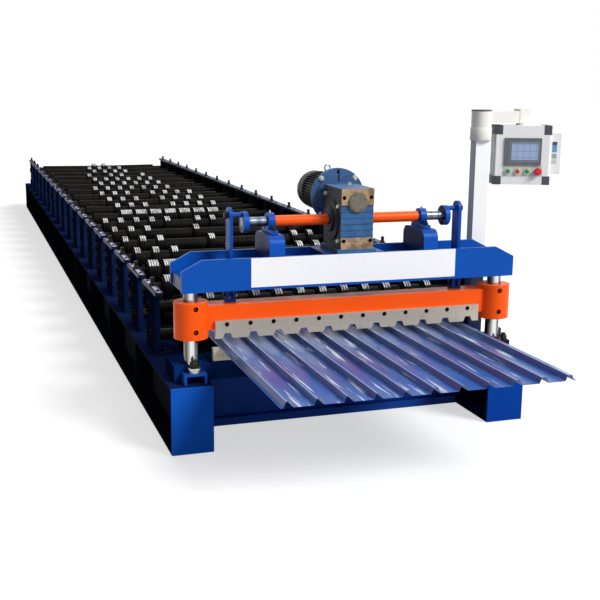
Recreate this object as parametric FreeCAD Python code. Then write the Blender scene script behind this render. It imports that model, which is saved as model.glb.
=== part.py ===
import FreeCAD, Part
import math
import os

from FreeCAD import Vector

# Roll forming machine for ribbed sheet, with a crank driven shear at its exit end.
# Millimetres. Origin on the floor, on the centre line, under the middle of the
# front cross member. +X is right, +Y runs against the sheet's travel towards the
# entry end, +Z is up.

# Base frame of two rolled beams
BASE_WIDTH = 1830.0
BASE_FRONT = 400.0
BASE_TAIL = 49.0
BEAM_WIDTH = 200.0
BEAM_HEIGHT = 320.0
BEAM_FLANGE = 16.0
BEAM_WEB = 12.0
END_PLATE = 12.0
STIFFENER = 10.0
STIFFENER_PITCH = 981.0
CROSS_MEMBER_DEPTH = 110.0
CROSS_MEMBER_WALL = 12.0
CROSS_MEMBER_LIP = 40.0
INNER_MEMBER_PITCH = 2300.0
INNER_MEMBER_COUNT = 4
INNER_MEMBER_HEIGHT = 200.0
TRAY_THICKNESS = 3.0
TRAY_GAP = 5.0

# Roll stations
STATION_COUNT = 18
STATION_PITCH = 500.0
FIRST_STATION = 331.0
PASS_HEIGHT = 470.0
ROLL_RADIUS = 72.0
SLEEVE_RADIUS = 44.0
JOURNAL_LENGTH = 130.0
JOURNAL_RADIUS = 30.0
JOURNAL_OVERHANG = 14.0
NIP_CLEARANCE = 1.0
RUNNING_CLEARANCE = 0.05
RING_GROUP_WIDTH = 62.0
WIDE_RING_GROUP_WIDTH = 112.0
STAND_INSET = 57.5
STAND_THICKNESS = 25.0
STAND_WIDTH = 260.0
STAND_HEIGHT = 320.0
STAND_FOOT_WIDTH = 90.0
STAND_FOOT_THICKNESS = 14.0
STRIP_LENGTH = 373.0
STRIP_WIDTH = 42.0
STRIP_THICKNESS = 18.0
GUARD_THICKNESS = 6.0
GUARD_SHAFT_GAP = 6.0
GUARD_FOOT_GAP = 10.0
SCREW_RADIUS = 11.0
SCREW_HEIGHT = 45.0

# Pans of the sheet that each upper roll presses, counted from the left, exit end first
PRESSED_PANS = [
    range(12), range(12), range(12), (0, 1, 2, 5, 9, 10), (0, 1, 2, 5, 10, 11), (0, 1, 2, 5, 10, 11),
    (0, 1, 2, 3, 4, 6, 7, 9), (2, 3, 4, 5, 6, 7, 8), (2, 3, 4, 6, 7, 8, 9), (2, 3, 4, 6, 7, 8, 9),
    (2, 3, 4, 6, 7, 8, 9), (2, 3, 4, 5, 6, 7, 8), (3, 4, 5, 6, 7, 8), (3, 4, 5, 6, 7, 8),
    (3, 5, 6, 8), (4, 5, 6, 7), (4, 5, 6, 7), (5, 6),
]
WIDE_RING_STATIONS = (2, 7)

# Ribbed sheet
RIB_COUNT = 11
RIB_PITCH = 125.0
RIB_HEIGHT = 25.0
RIB_TOP = 20.0
RIB_BASE = 42.0
SHEET_THICKNESS = 1.0
SHEET_LIP = 12.0
SHEET_OUT = 1235.0
SHEET_IN = 620.0

# Entry table
TABLE_GAP = 30.0
TABLE_LENGTH = 420.0
TABLE_SIDE_GAP = 15.0
TABLE_THICKNESS = 12.0
GUIDE_BAR_WIDTH = 40.0
GUIDE_BAR_HEIGHT = 45.0
TABLE_LEG = 60.0

# Shear: top frame of two chamfered plates
FRAME_OVERHANG = 58.0
FRAME_FRONT = -350.0
FRAME_DEPTH = 265.0
FRAME_PLATE = 20.0
FRAME_BOTTOM = 750.0
FRAME_HEIGHT = 150.0
CHAMFER_RUN = 98.0
CHAMFER_DROP = 50.0
CROSS_PLATE = 20.0
POST_BLOCK_WIDTH = 100.0
POST_BLOCK_HEIGHT = 60.0
BRIDGE_WIDTH = 300.0
BRIDGE_THICKNESS = 20.0
SIGN_WIDTH = 1043.0
SIGN_HEIGHT = 137.0
SIGN_THICKNESS = 2.0

# Shear: posts, blade carriage and lower blade
POST_INSET = 25.0
POST_Y = -268.0
POST_RADIUS = 35.0
POST_FOOT = 400.0
SLEEVE_OUTER = 80.0
SLEEVE_BOTTOM = 525.0
SLEEVE_HEIGHT = 174.0
BLADE_BEAM_DEPTH = 110.0
BLADE_BEAM_LEAD = 29.0
BLADE_BEAM_BOTTOM = 560.0
BLADE_BEAM_HEIGHT = 116.0
BLADE_OVERLAP = 26.0
BLADE_THICKNESS = 17.0
BLADE_BOTTOM = 520.0
BLADE_HEIGHT = 83.0
NOTCH_CLEARANCE = 3.5
BLADE_GAP = 1.0
LOWER_BLADE_OVERLAP = 32.0
LOWER_BLADE_THICKNESS = 30.0
LOWER_BLADE_HEIGHT = 60.0
SHEET_SEAT = 0.3
BOTTOM_BEAM_DEPTH = 160.0
SEAT_WIDTH = 180.0
SEAT_DEPTH = 200.0
HOLD_DOWN_WIDTH = 108.0
HOLD_DOWN_DEPTH = 60.0
HOLD_DOWN_HEIGHT = 52.0
HOLD_DOWN_WALL = 12.0

# Shear: crank drive
CRANK_RISE = 150.0
CRANK_THROW = 35.0
CRANK_SHAFT_RADIUS = 22.0
CRANK_TUBE_RADIUS = 26.0
CRANK_TUBE_GAP = 5.0
DISC_RADIUS = 50.0
DISC_THICKNESS = 26.0
DISC_INNER = 505.0
PIN_RADIUS = 12.0
PIN_OVERHANG = 6.0
ROD_SIDE_GAP = 51.0
ROD_THICKNESS = 16.0
ROD_WIDTH = 72.0
ROD_FREE_GAP = 8.0
CLEVIS_EAR = 14.0
CLEVIS_SIDE_GAP = 1.0
CLEVIS_HEIGHT = 66.0
CLEVIS_WIDTH = 52.0
CLEVIS_PIN_RADIUS = 12.0
BRACKET_CENTRE = 392.0
BRACKET_WIDTH = 76.0
BRACKET_DEPTH = 245.0
BRACKET_ROUND = 45.0
PILLOW_WIDTH = 34.0
PILLOW_RADIUS = 40.0
PILLOW_RISE = 55.0
PILLOW_BASE_HEIGHT = 18.0

# Worm reducer and motor
REDUCER_WIDTH = 165.0
REDUCER_DEPTH = 240.0
REDUCER_FRONT = -350.0
WORM_RISE = 95.0
WORM_HOUSING_RADIUS = 62.0
HUB_RADIUS = 58.0
HUB_LENGTH = 20.0
WHEEL_BOSS_RADIUS = 98.0
WHEEL_BOSS_RISE = 8.0
FACE_PAD_RISE = 6.0
FOOT_PAD_HEIGHT = 36.0
HEAD_PAD_DROP = 16.0
COVER_RING_RADIUS = 52.0
FACE_RIB_COUNT = 5
FACE_RIB_THICKNESS = 7.0
FACE_RIB_RISE = 3.0
FOOT_THICKNESS = 20.0
FOOT_WIDTH = 196.0
COVER_RADIUS = 45.0
COVER_THICKNESS = 9.0
MOTOR_FLANGE_RADIUS = 137.0
MOTOR_FLANGE_THICKNESS = 22.0
FLANGE_STEP_RADIUS = 112.0
FLANGE_STEP_RISE = 8.0
MOTOR_NECK_RADIUS = 70.0
MOTOR_NECK_LENGTH = 26.0
MOTOR_RADIUS = 100.0
MOTOR_LENGTH = 270.0
MOTOR_FAN_COVER = 80.0
FAN_COVER_STEP = 4.0
FAN_COVER_ROUND = 22.0
TERMINAL_BOX = 90.0
TERMINAL_RISE = 40.0
TERMINAL_START = 35.0
TERMINAL_SINK = 20.0
EYE_Y = 30.0
EYE_RADIUS = 15.0
EYE_BAR_RADIUS = 5.0
EYE_FOOT_HEIGHT = 12.0

# Control post, arm and box
CONTROL_POST_INSET = 4.0
CONTROL_POST_Y = -20.0
CONTROL_POST_WIDTH = 80.0
CONTROL_POST_DEPTH = 60.0
CONTROL_POST_WALL = 4.0
CONTROL_POST_TOP = 1406.0
CONTROL_FOOT = 120.0
CONTROL_FOOT_THICKNESS = 12.0
HEAD_RADIUS = 52.0
HEAD_HEIGHT = 150.0
HEAD_SPIGOT_RADIUS = 24.0
HEAD_ROOF = 10.0
ARM_REACH = 240.0
ARM_SECTION = 60.0
COUPLING_RADIUS = 30.0
COUPLING_DROP = 12.0
COUPLING_GAP = 0.3
KNUCKLE_WIDTH = 64.0
KNUCKLE_RISE = 12.0
BOX_WIDTH = 295.0
BOX_DEPTH = 130.0
BOX_HEIGHT = 306.0
BOX_TURN = -20.0
BOX_CORNER = 30.0
BOX_CORNER_ROUND = 12.0
SOCKET_REACH = 58.0
SOCKET_DEPTH = 60.0
SOCKET_HEIGHT = 213.0
SOCKET_DROP = 40.0
BEZEL_WIDTH = 194.0
BEZEL_HEIGHT = 142.0
BEZEL_THICKNESS = 7.0
BEZEL_DROP = 64.0
BUTTON_RADIUS = 13.0
BUTTON_LENGTH = 14.0
BUTTON_RISE = 61.0
BUTTON_PITCH = 50.0
BUTTON_REACH = 80.0
STOP_RADIUS = 20.0
STOP_LENGTH = 28.0

# Directions
ALONG_X = Vector(1, 0, 0)
ALONG_Y = Vector(0, 1, 0)
ALONG_Z = Vector(0, 0, 1)

# Heights and places that follow from the sizes above
BEAM_CENTRE = (BASE_WIDTH - BEAM_WIDTH) / 2
INNER_WIDTH = BASE_WIDTH - 2 * BEAM_WIDTH
STAND_CENTRE = BASE_WIDTH / 2 - STAND_INSET
SHAFT_END = STAND_CENTRE + STAND_THICKNESS / 2 + JOURNAL_OVERHANG
ROLL_FACE = 2 * STAND_CENTRE - STAND_THICKNESS - 2 * JOURNAL_LENGTH
TABLE_WIDTH = INNER_WIDTH - 2 * TABLE_SIDE_GAP
POST_SPACING = 2 * (BEAM_CENTRE - POST_INSET)
FRAME_WIDTH = POST_SPACING + 2 * FRAME_OVERHANG
SHEET_WIDTH = (RIB_COUNT - 1) * RIB_PITCH + RIB_BASE + 2 * SHEET_LIP
BLADE_WIDTH = SHEET_WIDTH + 2 * BLADE_OVERLAP
LOWER_BLADE_WIDTH = SHEET_WIDTH + 2 * LOWER_BLADE_OVERLAP
CONTROL_POST_X = BEAM_CENTRE - CONTROL_POST_INSET
UPPER_AXIS = PASS_HEIGHT + SHEET_THICKNESS + NIP_CLEARANCE + ROLL_RADIUS
LOWER_AXIS = PASS_HEIGHT - NIP_CLEARANCE - ROLL_RADIUS
STAND_TOP = BEAM_HEIGHT + STAND_HEIGHT
RAIL_TOP = STAND_TOP + STRIP_THICKNESS
FRAME_TOP = FRAME_BOTTOM + FRAME_HEIGHT
CRANK_HEIGHT = FRAME_TOP + CRANK_RISE
BRACKET_HEIGHT = CRANK_RISE - PILLOW_RISE
CRANK_Y = FRAME_FRONT + FRAME_DEPTH / 2
ROD_CENTRE = DISC_INNER + DISC_THICKNESS + ROD_SIDE_GAP + ROD_THICKNESS / 2
BLADE_BEAM_FRONT = POST_Y - BLADE_BEAM_LEAD
BLADE_BEAM_TOP = BLADE_BEAM_BOTTOM + BLADE_BEAM_HEIGHT
BLADE_BACK = BLADE_BEAM_FRONT
WORM_HEIGHT = CRANK_HEIGHT + WORM_RISE
PIN_HEIGHT = CRANK_HEIGHT + CRANK_THROW
CLEVIS_TOP = BLADE_BEAM_TOP + CLEVIS_HEIGHT
ROD_BOTTOM = CLEVIS_TOP + 2 * CRANK_THROW + ROD_FREE_GAP
REDUCER_BACK = REDUCER_FRONT + REDUCER_DEPTH
FLANGE_Y = REDUCER_BACK + MOTOR_NECK_LENGTH
ARM_HEIGHT = CONTROL_POST_TOP + HEAD_HEIGHT - ARM_SECTION / 2
TABLE_START = FIRST_STATION + (STATION_COUNT - 1) * STATION_PITCH + ROLL_RADIUS + TABLE_GAP
BASE_LENGTH = BASE_FRONT + TABLE_START + TABLE_LENGTH + BASE_TAIL


def box(x_low, x_high, y_low, y_high, z_low, z_high):
    """Rectangular block between two corners."""
    size = Vector(x_high - x_low, y_high - y_low, z_high - z_low)
    return Part.makeBox(size.x, size.y, size.z, Vector(x_low, y_low, z_low))


def rod(radius, length, start, direction):
    """Round bar from a start point along a direction."""
    return Part.makeCylinder(radius, length, start, direction)


def prism(points, direction):
    """Closed outline pushed along a direction."""
    outline = [Vector(*point) for point in points]
    wire = Part.makePolygon(outline + outline[:1])
    return Part.Face(wire).extrude(direction)


def revolve_about_x(profile, height, y):
    """Solid turned about a line along X from (x, radius) points."""
    outline = [Vector(x, y, height + radius) for x, radius in profile]
    wire = Part.makePolygon(outline + outline[:1])
    return Part.Face(wire).revolve(Vector(0, y, height), ALONG_X, 360)


def mirrored(shape):
    """Copy on the other side of the centre line."""
    return shape.mirror(Vector(0, 0, 0), ALONG_X)


def both_sides(shape):
    """The piece and its copy on the other side."""
    return [shape, mirrored(shape)]


def save(name, solids):
    """Write one sub-part, of one solid or of several that don't touch."""
    if isinstance(solids, list):
        shape = solids[0] if len(solids) == 1 else Part.makeCompound(solids)
    else:
        shape = solids
    shape.exportStep(os.path.join("parts", name + ".step"))


def station_places():
    """Y of each roll station, from the exit end."""
    return [FIRST_STATION + index * STATION_PITCH for index in range(STATION_COUNT)]


def rib_centres():
    """X of each rib of the sheet."""
    middle = (RIB_COUNT - 1) / 2
    return [(index - middle) * RIB_PITCH for index in range(RIB_COUNT)]


def ribbed_line(base, rise, top, foot, end):
    """Line across the machine that climbs over each rib, from left to right."""
    points = [(-end, base)]
    for centre in rib_centres():
        points.append((centre - foot / 2, base))
        points.append((centre - top / 2, base + rise))
        points.append((centre + top / 2, base + rise))
        points.append((centre + foot / 2, base))
    points.append((end, base))
    return points


# Base frame
def base_beam():
    """Right beam: rolled section with end plates and web stiffeners."""
    left = BEAM_CENTRE - BEAM_WIDTH / 2
    right = BEAM_CENTRE + BEAM_WIDTH / 2
    front = -BASE_FRONT
    back = front + BASE_LENGTH
    beam = box(left, right, front, back, 0, BEAM_HEIGHT)
    low = BEAM_FLANGE
    high = BEAM_HEIGHT - BEAM_FLANGE
    web_left = BEAM_CENTRE - BEAM_WEB / 2
    web_right = BEAM_CENTRE + BEAM_WEB / 2
    bays = round(BASE_LENGTH / STIFFENER_PITCH)
    bay = BASE_LENGTH / bays
    for index in range(bays):
        bay_front = front + index * bay + (END_PLATE if index == 0 else STIFFENER / 2)
        bay_back = front + (index + 1) * bay - (END_PLATE if index == bays - 1 else STIFFENER / 2)
        beam = beam.cut(box(left - 1, web_left, bay_front, bay_back, low, high))
        beam = beam.cut(box(web_right, right + 1, bay_front, bay_back, low, high))
    return beam


def front_cross_member():
    """Deep plate between the beams with a bar along its foot."""
    half = INNER_WIDTH / 2
    front = -CROSS_MEMBER_DEPTH / 2
    back = CROSS_MEMBER_DEPTH / 2
    web_front = front + CROSS_MEMBER_LIP
    outline = [
        (-half, front, 0),
        (-half, back, 0),
        (-half, back, CROSS_MEMBER_LIP),
        (-half, web_front + CROSS_MEMBER_WALL, CROSS_MEMBER_LIP),
        (-half, web_front + CROSS_MEMBER_WALL, BEAM_HEIGHT - CROSS_MEMBER_WALL),
        (-half, back, BEAM_HEIGHT - CROSS_MEMBER_WALL),
        (-half, back, BEAM_HEIGHT),
        (-half, web_front, BEAM_HEIGHT),
        (-half, web_front, CROSS_MEMBER_LIP),
        (-half, front, CROSS_MEMBER_LIP),
    ]
    return prism(outline, Vector(INNER_WIDTH, 0, 0))


def channel_member(y):
    """Channel across the base between the beam webs' flanges."""
    half = INNER_WIDTH / 2
    wall = CROSS_MEMBER_WALL
    top = INNER_MEMBER_HEIGHT
    back = y + CROSS_MEMBER_DEPTH
    outline = [
        (-half, y, 0),
        (-half, back, 0),
        (-half, back, wall),
        (-half, y + wall, wall),
        (-half, y + wall, top - wall),
        (-half, back, top - wall),
        (-half, back, top),
        (-half, y, top),
    ]
    return prism(outline, Vector(INNER_WIDTH, 0, 0))


def base_cross_members():
    """Channels along the base, the last one flush with the entry end, and the oil tray on them."""
    members = [channel_member((index + 1) * INNER_MEMBER_PITCH - BASE_FRONT)
               for index in range(INNER_MEMBER_COUNT - 1)]
    members.append(channel_member(BASE_LENGTH - BASE_FRONT - CROSS_MEMBER_DEPTH))
    half = INNER_WIDTH / 2
    piece = box(-half, half, CROSS_MEMBER_DEPTH / 2 + TRAY_GAP, BASE_LENGTH - BASE_FRONT,
                INNER_MEMBER_HEIGHT, INNER_MEMBER_HEIGHT + TRAY_THICKNESS)
    for member in members:
        piece = piece.fuse(member)
    return piece.removeSplitter()


# Roll stands
def stand_plate(y):
    """Right plate of one station, with its foot and the two journal bores."""
    inner = STAND_CENTRE - STAND_THICKNESS / 2
    outer = STAND_CENTRE + STAND_THICKNESS / 2
    half = STAND_WIDTH / 2
    plate = box(inner, outer, y - half, y + half, BEAM_HEIGHT, STAND_TOP)
    foot = box(inner - STAND_FOOT_WIDTH + STAND_THICKNESS, outer, y - half, y + half,
               BEAM_HEIGHT, BEAM_HEIGHT + STAND_FOOT_THICKNESS)
    plate = plate.fuse(foot).removeSplitter()
    bore = JOURNAL_RADIUS + RUNNING_CLEARANCE
    for height in (UPPER_AXIS, LOWER_AXIS):
        plate = plate.cut(rod(bore, STAND_THICKNESS + 2, Vector(inner - 1, y, height), ALONG_X))
    return plate


def tie_strip(y):
    """Strip on top of one left stand plate."""
    half = STRIP_LENGTH / 2
    left = -STAND_CENTRE - STRIP_WIDTH / 2
    return box(left, left + STRIP_WIDTH, y - half, y + half, STAND_TOP, RAIL_TOP)


def top_rail():
    """Rail over all right stand plates, with the drive guard that hangs from its edge."""
    places = station_places()
    left = STAND_CENTRE - STRIP_WIDTH / 2
    front = places[0] - STRIP_LENGTH / 2
    back = places[-1] + STRIP_LENGTH / 2
    guard_left = SHAFT_END + GUARD_SHAFT_GAP
    guard_right = guard_left + GUARD_THICKNESS
    rail = box(left, guard_right, front, back, STAND_TOP, RAIL_TOP)
    guard = box(guard_left, guard_right, front, back, BEAM_HEIGHT + GUARD_FOOT_GAP, RAIL_TOP)
    return rail.fuse(guard).removeSplitter()


def adjusting_screw(x, y):
    """Stud that sets the height of one upper bearing."""
    return rod(SCREW_RADIUS, SCREW_HEIGHT, Vector(x, y, RAIL_TOP), ALONG_Z)


# Rolls
def ring_centres(station):
    """X of each ring group on one upper shaft, by its station from the exit."""
    return [(pan - RIB_COUNT / 2) * RIB_PITCH for pan in PRESSED_PANS[station]]


def upper_roll(station):
    """Upper shaft: journals, spacer sleeve and ring groups."""
    y = station_places()[station]
    half = ROLL_FACE / 2
    group = WIDE_RING_GROUP_WIDTH if station in WIDE_RING_STATIONS else RING_GROUP_WIDTH
    profile = [(-SHAFT_END, 0), (-SHAFT_END, JOURNAL_RADIUS)]
    profile += [(-half, JOURNAL_RADIUS), (-half, SLEEVE_RADIUS)]
    for centre in ring_centres(station):
        low = max(centre - group / 2, -half + 1)
        high = min(centre + group / 2, half - 1)
        profile += [(low, SLEEVE_RADIUS), (low, ROLL_RADIUS), (high, ROLL_RADIUS), (high, SLEEVE_RADIUS)]
    profile += [(half, SLEEVE_RADIUS), (half, JOURNAL_RADIUS), (SHAFT_END, JOURNAL_RADIUS), (SHAFT_END, 0)]
    return revolve_about_x(profile, UPPER_AXIS, y)


def lower_roll(y):
    """Lower shaft: journals and drum."""
    half = ROLL_FACE / 2
    profile = [
        (-SHAFT_END, 0), (-SHAFT_END, JOURNAL_RADIUS), (-half, JOURNAL_RADIUS), (-half, ROLL_RADIUS),
        (half, ROLL_RADIUS), (half, JOURNAL_RADIUS), (SHAFT_END, JOURNAL_RADIUS), (SHAFT_END, 0),
    ]
    return revolve_about_x(profile, LOWER_AXIS, y)


# Sheet
def formed_sheet():
    """Ribbed sheet that leaves the machine under the blade."""
    lower = ribbed_line(PASS_HEIGHT, RIB_HEIGHT, RIB_TOP, RIB_BASE, SHEET_WIDTH / 2)
    upper = [(x, z + SHEET_THICKNESS) for x, z in reversed(lower)]
    outline = [(x, -SHEET_OUT, z) for x, z in lower + upper]
    return prism(outline, Vector(0, SHEET_OUT + SHEET_IN, 0))


# Entry table
def entry_table():
    """Table, side guides and legs at the entry end."""
    half = TABLE_WIDTH / 2
    back = TABLE_START + TABLE_LENGTH
    top = PASS_HEIGHT
    table = box(-half, half, TABLE_START, back, top - TABLE_THICKNESS, top)
    guide = box(half - GUIDE_BAR_WIDTH, half, TABLE_START, back, top, top + GUIDE_BAR_HEIGHT)
    leg_low = BEAM_CENTRE - BEAM_WIDTH / 2
    leg = box(leg_low, leg_low + TABLE_LEG, back - 2 * TABLE_LEG, back - TABLE_LEG,
              BEAM_HEIGHT, top - TABLE_THICKNESS)
    shelf = box(half - GUIDE_BAR_WIDTH, leg_low + TABLE_LEG, back - 2 * TABLE_LEG, back - TABLE_LEG,
                top - TABLE_THICKNESS, top)
    piece = table
    for shape in both_sides(guide) + both_sides(leg) + both_sides(shelf):
        piece = piece.fuse(shape)
    return piece.removeSplitter()


# Shear frame
def frame_plate(y):
    """Chamfered plate across the top of the shear."""
    half = FRAME_WIDTH / 2
    outline = [
        (-half, y, FRAME_BOTTOM),
        (half, y, FRAME_BOTTOM),
        (half, y, FRAME_TOP - CHAMFER_DROP),
        (half - CHAMFER_RUN, y, FRAME_TOP),
        (CHAMFER_RUN - half, y, FRAME_TOP),
        (-half, y, FRAME_TOP - CHAMFER_DROP),
    ]
    return prism(outline, Vector(0, FRAME_PLATE, 0))


def frame_inside():
    """Front and back of the space between the two frame plates."""
    return FRAME_FRONT + FRAME_PLATE, FRAME_FRONT + FRAME_DEPTH - FRAME_PLATE


def frame_cross_plates():
    """Post blocks at the ends, webs under the brackets and the reducer's bridge."""
    front, back = frame_inside()
    post_x = POST_SPACING / 2
    block = box(post_x - POST_BLOCK_WIDTH / 2, post_x + POST_BLOCK_WIDTH / 2, front, back,
                FRAME_BOTTOM, FRAME_BOTTOM + POST_BLOCK_HEIGHT)
    block = block.cut(rod(POST_RADIUS, 200, Vector(post_x, POST_Y, FRAME_BOTTOM - 1), ALONG_Z))
    web_left = BRACKET_CENTRE - CROSS_PLATE / 2
    web = box(web_left, web_left + CROSS_PLATE, front, back, FRAME_BOTTOM, FRAME_TOP - BRIDGE_THICKNESS)
    seat = box(BRACKET_CENTRE - BRACKET_WIDTH / 2, BRACKET_CENTRE + BRACKET_WIDTH / 2,
               front, back, FRAME_TOP - BRIDGE_THICKNESS, FRAME_TOP)
    bracket_web = web.fuse(seat).removeSplitter()
    bridge = box(-BRIDGE_WIDTH / 2, BRIDGE_WIDTH / 2, front, back, FRAME_TOP - BRIDGE_THICKNESS, FRAME_TOP)
    return both_sides(block) + both_sides(bracket_web) + [bridge]


def bearing_bracket():
    """Right pedestal under one crank bearing, with a rounded top."""
    low = BRACKET_CENTRE - BRACKET_WIDTH / 2
    half = BRACKET_DEPTH / 2
    piece = box(low, low + BRACKET_WIDTH, CRANK_Y - half, CRANK_Y + half,
                FRAME_TOP, FRAME_TOP + BRACKET_HEIGHT)
    edges = [edge for edge in piece.Edges
             if abs(edge.CenterOfMass.z - FRAME_TOP - BRACKET_HEIGHT) < 0.1
             and abs(edge.CenterOfMass.x - BRACKET_CENTRE) < 0.1]
    return piece.makeFillet(BRACKET_ROUND, edges)


def pillow_block():
    """Right crank bearing: base and round housing."""
    low = BRACKET_CENTRE - PILLOW_WIDTH / 2
    base_low = FRAME_TOP + BRACKET_HEIGHT
    base_half = BRACKET_DEPTH / 2 - BRACKET_ROUND
    base = box(low, low + PILLOW_WIDTH, CRANK_Y - base_half, CRANK_Y + base_half,
               base_low, base_low + PILLOW_BASE_HEIGHT)
    housing = rod(PILLOW_RADIUS, PILLOW_WIDTH, Vector(low, CRANK_Y, CRANK_HEIGHT), ALONG_X)
    bore = rod(CRANK_SHAFT_RADIUS + RUNNING_CLEARANCE, PILLOW_WIDTH + 2,
               Vector(low - 1, CRANK_Y, CRANK_HEIGHT), ALONG_X)
    return base.fuse(housing).removeSplitter().cut(bore)


def sign_plate():
    """Bare plate on the front of the frame."""
    half = SIGN_WIDTH / 2
    return box(-half, half, FRAME_FRONT - SIGN_THICKNESS, FRAME_FRONT, FRAME_TOP - SIGN_HEIGHT, FRAME_TOP)


# Shear posts, bed and blades
def guide_post():
    """Right guide post."""
    length = FRAME_BOTTOM + POST_BLOCK_HEIGHT - POST_FOOT
    return rod(POST_RADIUS, length, Vector(POST_SPACING / 2, POST_Y, POST_FOOT), ALONG_Z)


def post_seat():
    """Right seat under the post, on the base beam."""
    x = POST_SPACING / 2
    front = POST_Y - POST_RADIUS
    return box(x - SEAT_WIDTH / 2, x + SEAT_WIDTH / 2, front, front + SEAT_DEPTH, BEAM_HEIGHT, POST_FOOT)


def hold_down():
    """Right channel clamp in front of the post seat."""
    x = POST_SPACING / 2
    back = POST_Y - POST_RADIUS
    left = x - HOLD_DOWN_WIDTH / 2
    right = x + HOLD_DOWN_WIDTH / 2
    top = BEAM_HEIGHT + HOLD_DOWN_HEIGHT
    outline = [
        (left, back, BEAM_HEIGHT),
        (left + HOLD_DOWN_WALL, back, BEAM_HEIGHT),
        (left + HOLD_DOWN_WALL, back, top - HOLD_DOWN_WALL),
        (right - HOLD_DOWN_WALL, back, top - HOLD_DOWN_WALL),
        (right - HOLD_DOWN_WALL, back, BEAM_HEIGHT),
        (right, back, BEAM_HEIGHT),
        (right, back, top),
        (left, back, top),
    ]
    return prism(outline, Vector(0, -HOLD_DOWN_DEPTH, 0))


def bottom_beam():
    """Bed beam that carries the lower blade."""
    half = (POST_SPACING - SEAT_WIDTH) / 2
    front = BLADE_BACK + BLADE_GAP
    top = PASS_HEIGHT - SHEET_SEAT - LOWER_BLADE_HEIGHT
    return box(-half, half, front, front + BOTTOM_BEAM_DEPTH, BEAM_HEIGHT, top)


def lower_blade():
    """Fixed blade whose edge follows the sheet's ribs."""
    front = BLADE_BACK + BLADE_GAP
    low = PASS_HEIGHT - SHEET_SEAT - LOWER_BLADE_HEIGHT
    slope = (RIB_BASE - RIB_TOP) / 2 / RIB_HEIGHT
    inset = 2 * SHEET_SEAT * (math.sqrt(1 + slope * slope) - slope)
    edge = ribbed_line(PASS_HEIGHT - SHEET_SEAT, RIB_HEIGHT, RIB_TOP - inset, RIB_BASE - inset,
                       LOWER_BLADE_WIDTH / 2)
    edge += [(LOWER_BLADE_WIDTH / 2, low), (-LOWER_BLADE_WIDTH / 2, low)]
    return prism([(x, front, z) for x, z in edge], Vector(0, LOWER_BLADE_THICKNESS, 0))


def upper_blade():
    """Moving blade with a notch over each rib."""
    half = BLADE_WIDTH / 2
    front = BLADE_BACK - BLADE_THICKNESS
    top = BLADE_BOTTOM + BLADE_HEIGHT
    edge = ribbed_line(BLADE_BOTTOM, RIB_HEIGHT, RIB_TOP + 2 * NOTCH_CLEARANCE,
                       RIB_BASE + 2 * NOTCH_CLEARANCE, half)
    edge += [(half, top), (-half, top)]
    return prism([(x, front, z) for x, z in edge], Vector(0, BLADE_THICKNESS, 0))


def blade_beam():
    """Beam that carries the moving blade between the two sleeves."""
    half = POST_SPACING / 2
    front = BLADE_BEAM_FRONT
    beam = box(-half, half, front, front + BLADE_BEAM_DEPTH, BLADE_BEAM_BOTTOM, BLADE_BEAM_TOP)
    for side in (-1, 1):
        around = rod(SLEEVE_OUTER, SLEEVE_HEIGHT, Vector(side * half, POST_Y, SLEEVE_BOTTOM), ALONG_Z)
        beam = beam.cut(around)
    solids = sorted(beam.Solids, key=lambda solid: solid.Volume)
    return solids[-1]


def guide_sleeve():
    """Right sleeve of the carriage, running on its post."""
    start = Vector(POST_SPACING / 2, POST_Y, SLEEVE_BOTTOM)
    outer = rod(SLEEVE_OUTER, SLEEVE_HEIGHT, start, ALONG_Z)
    inner = rod(POST_RADIUS + RUNNING_CLEARANCE, SLEEVE_HEIGHT, start, ALONG_Z)
    return outer.cut(inner)


def beam_clevis():
    """Right clevis on the blade beam, with its cross pin."""
    half_y = CLEVIS_WIDTH / 2
    inner_gap = ROD_THICKNESS / 2 + CLEVIS_SIDE_GAP
    piece = box(ROD_CENTRE - inner_gap - CLEVIS_EAR, ROD_CENTRE + inner_gap + CLEVIS_EAR,
                CRANK_Y - half_y, CRANK_Y + half_y, BLADE_BEAM_TOP, CLEVIS_TOP)
    slot = box(ROD_CENTRE - inner_gap, ROD_CENTRE + inner_gap, CRANK_Y - half_y, CRANK_Y + half_y,
               BLADE_BEAM_TOP + CLEVIS_EAR, CLEVIS_TOP)
    pin_start = Vector(ROD_CENTRE - inner_gap - CLEVIS_EAR, CRANK_Y, CLEVIS_TOP - CLEVIS_WIDTH / 2)
    pin = rod(CLEVIS_PIN_RADIUS, 2 * (inner_gap + CLEVIS_EAR), pin_start, ALONG_X)
    return piece.cut(slot).fuse(pin).removeSplitter()


# Crank drive
def crank_shaft():
    """Shaft through the reducer, from one crank disc to the other."""
    shaft_end = DISC_INNER + DISC_THICKNESS
    return rod(CRANK_SHAFT_RADIUS, 2 * shaft_end, Vector(-shaft_end, CRANK_Y, CRANK_HEIGHT), ALONG_X)


def crank_tube():
    """Right cover tube that turns with the shaft."""
    start = REDUCER_WIDTH / 2 + HUB_LENGTH + CRANK_TUBE_GAP
    length = BRACKET_CENTRE - PILLOW_WIDTH / 2 - CRANK_TUBE_GAP - start
    outer = rod(CRANK_TUBE_RADIUS, length, Vector(start, CRANK_Y, CRANK_HEIGHT), ALONG_X)
    inner = rod(CRANK_SHAFT_RADIUS, length, Vector(start, CRANK_Y, CRANK_HEIGHT), ALONG_X)
    return outer.cut(inner)


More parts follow.
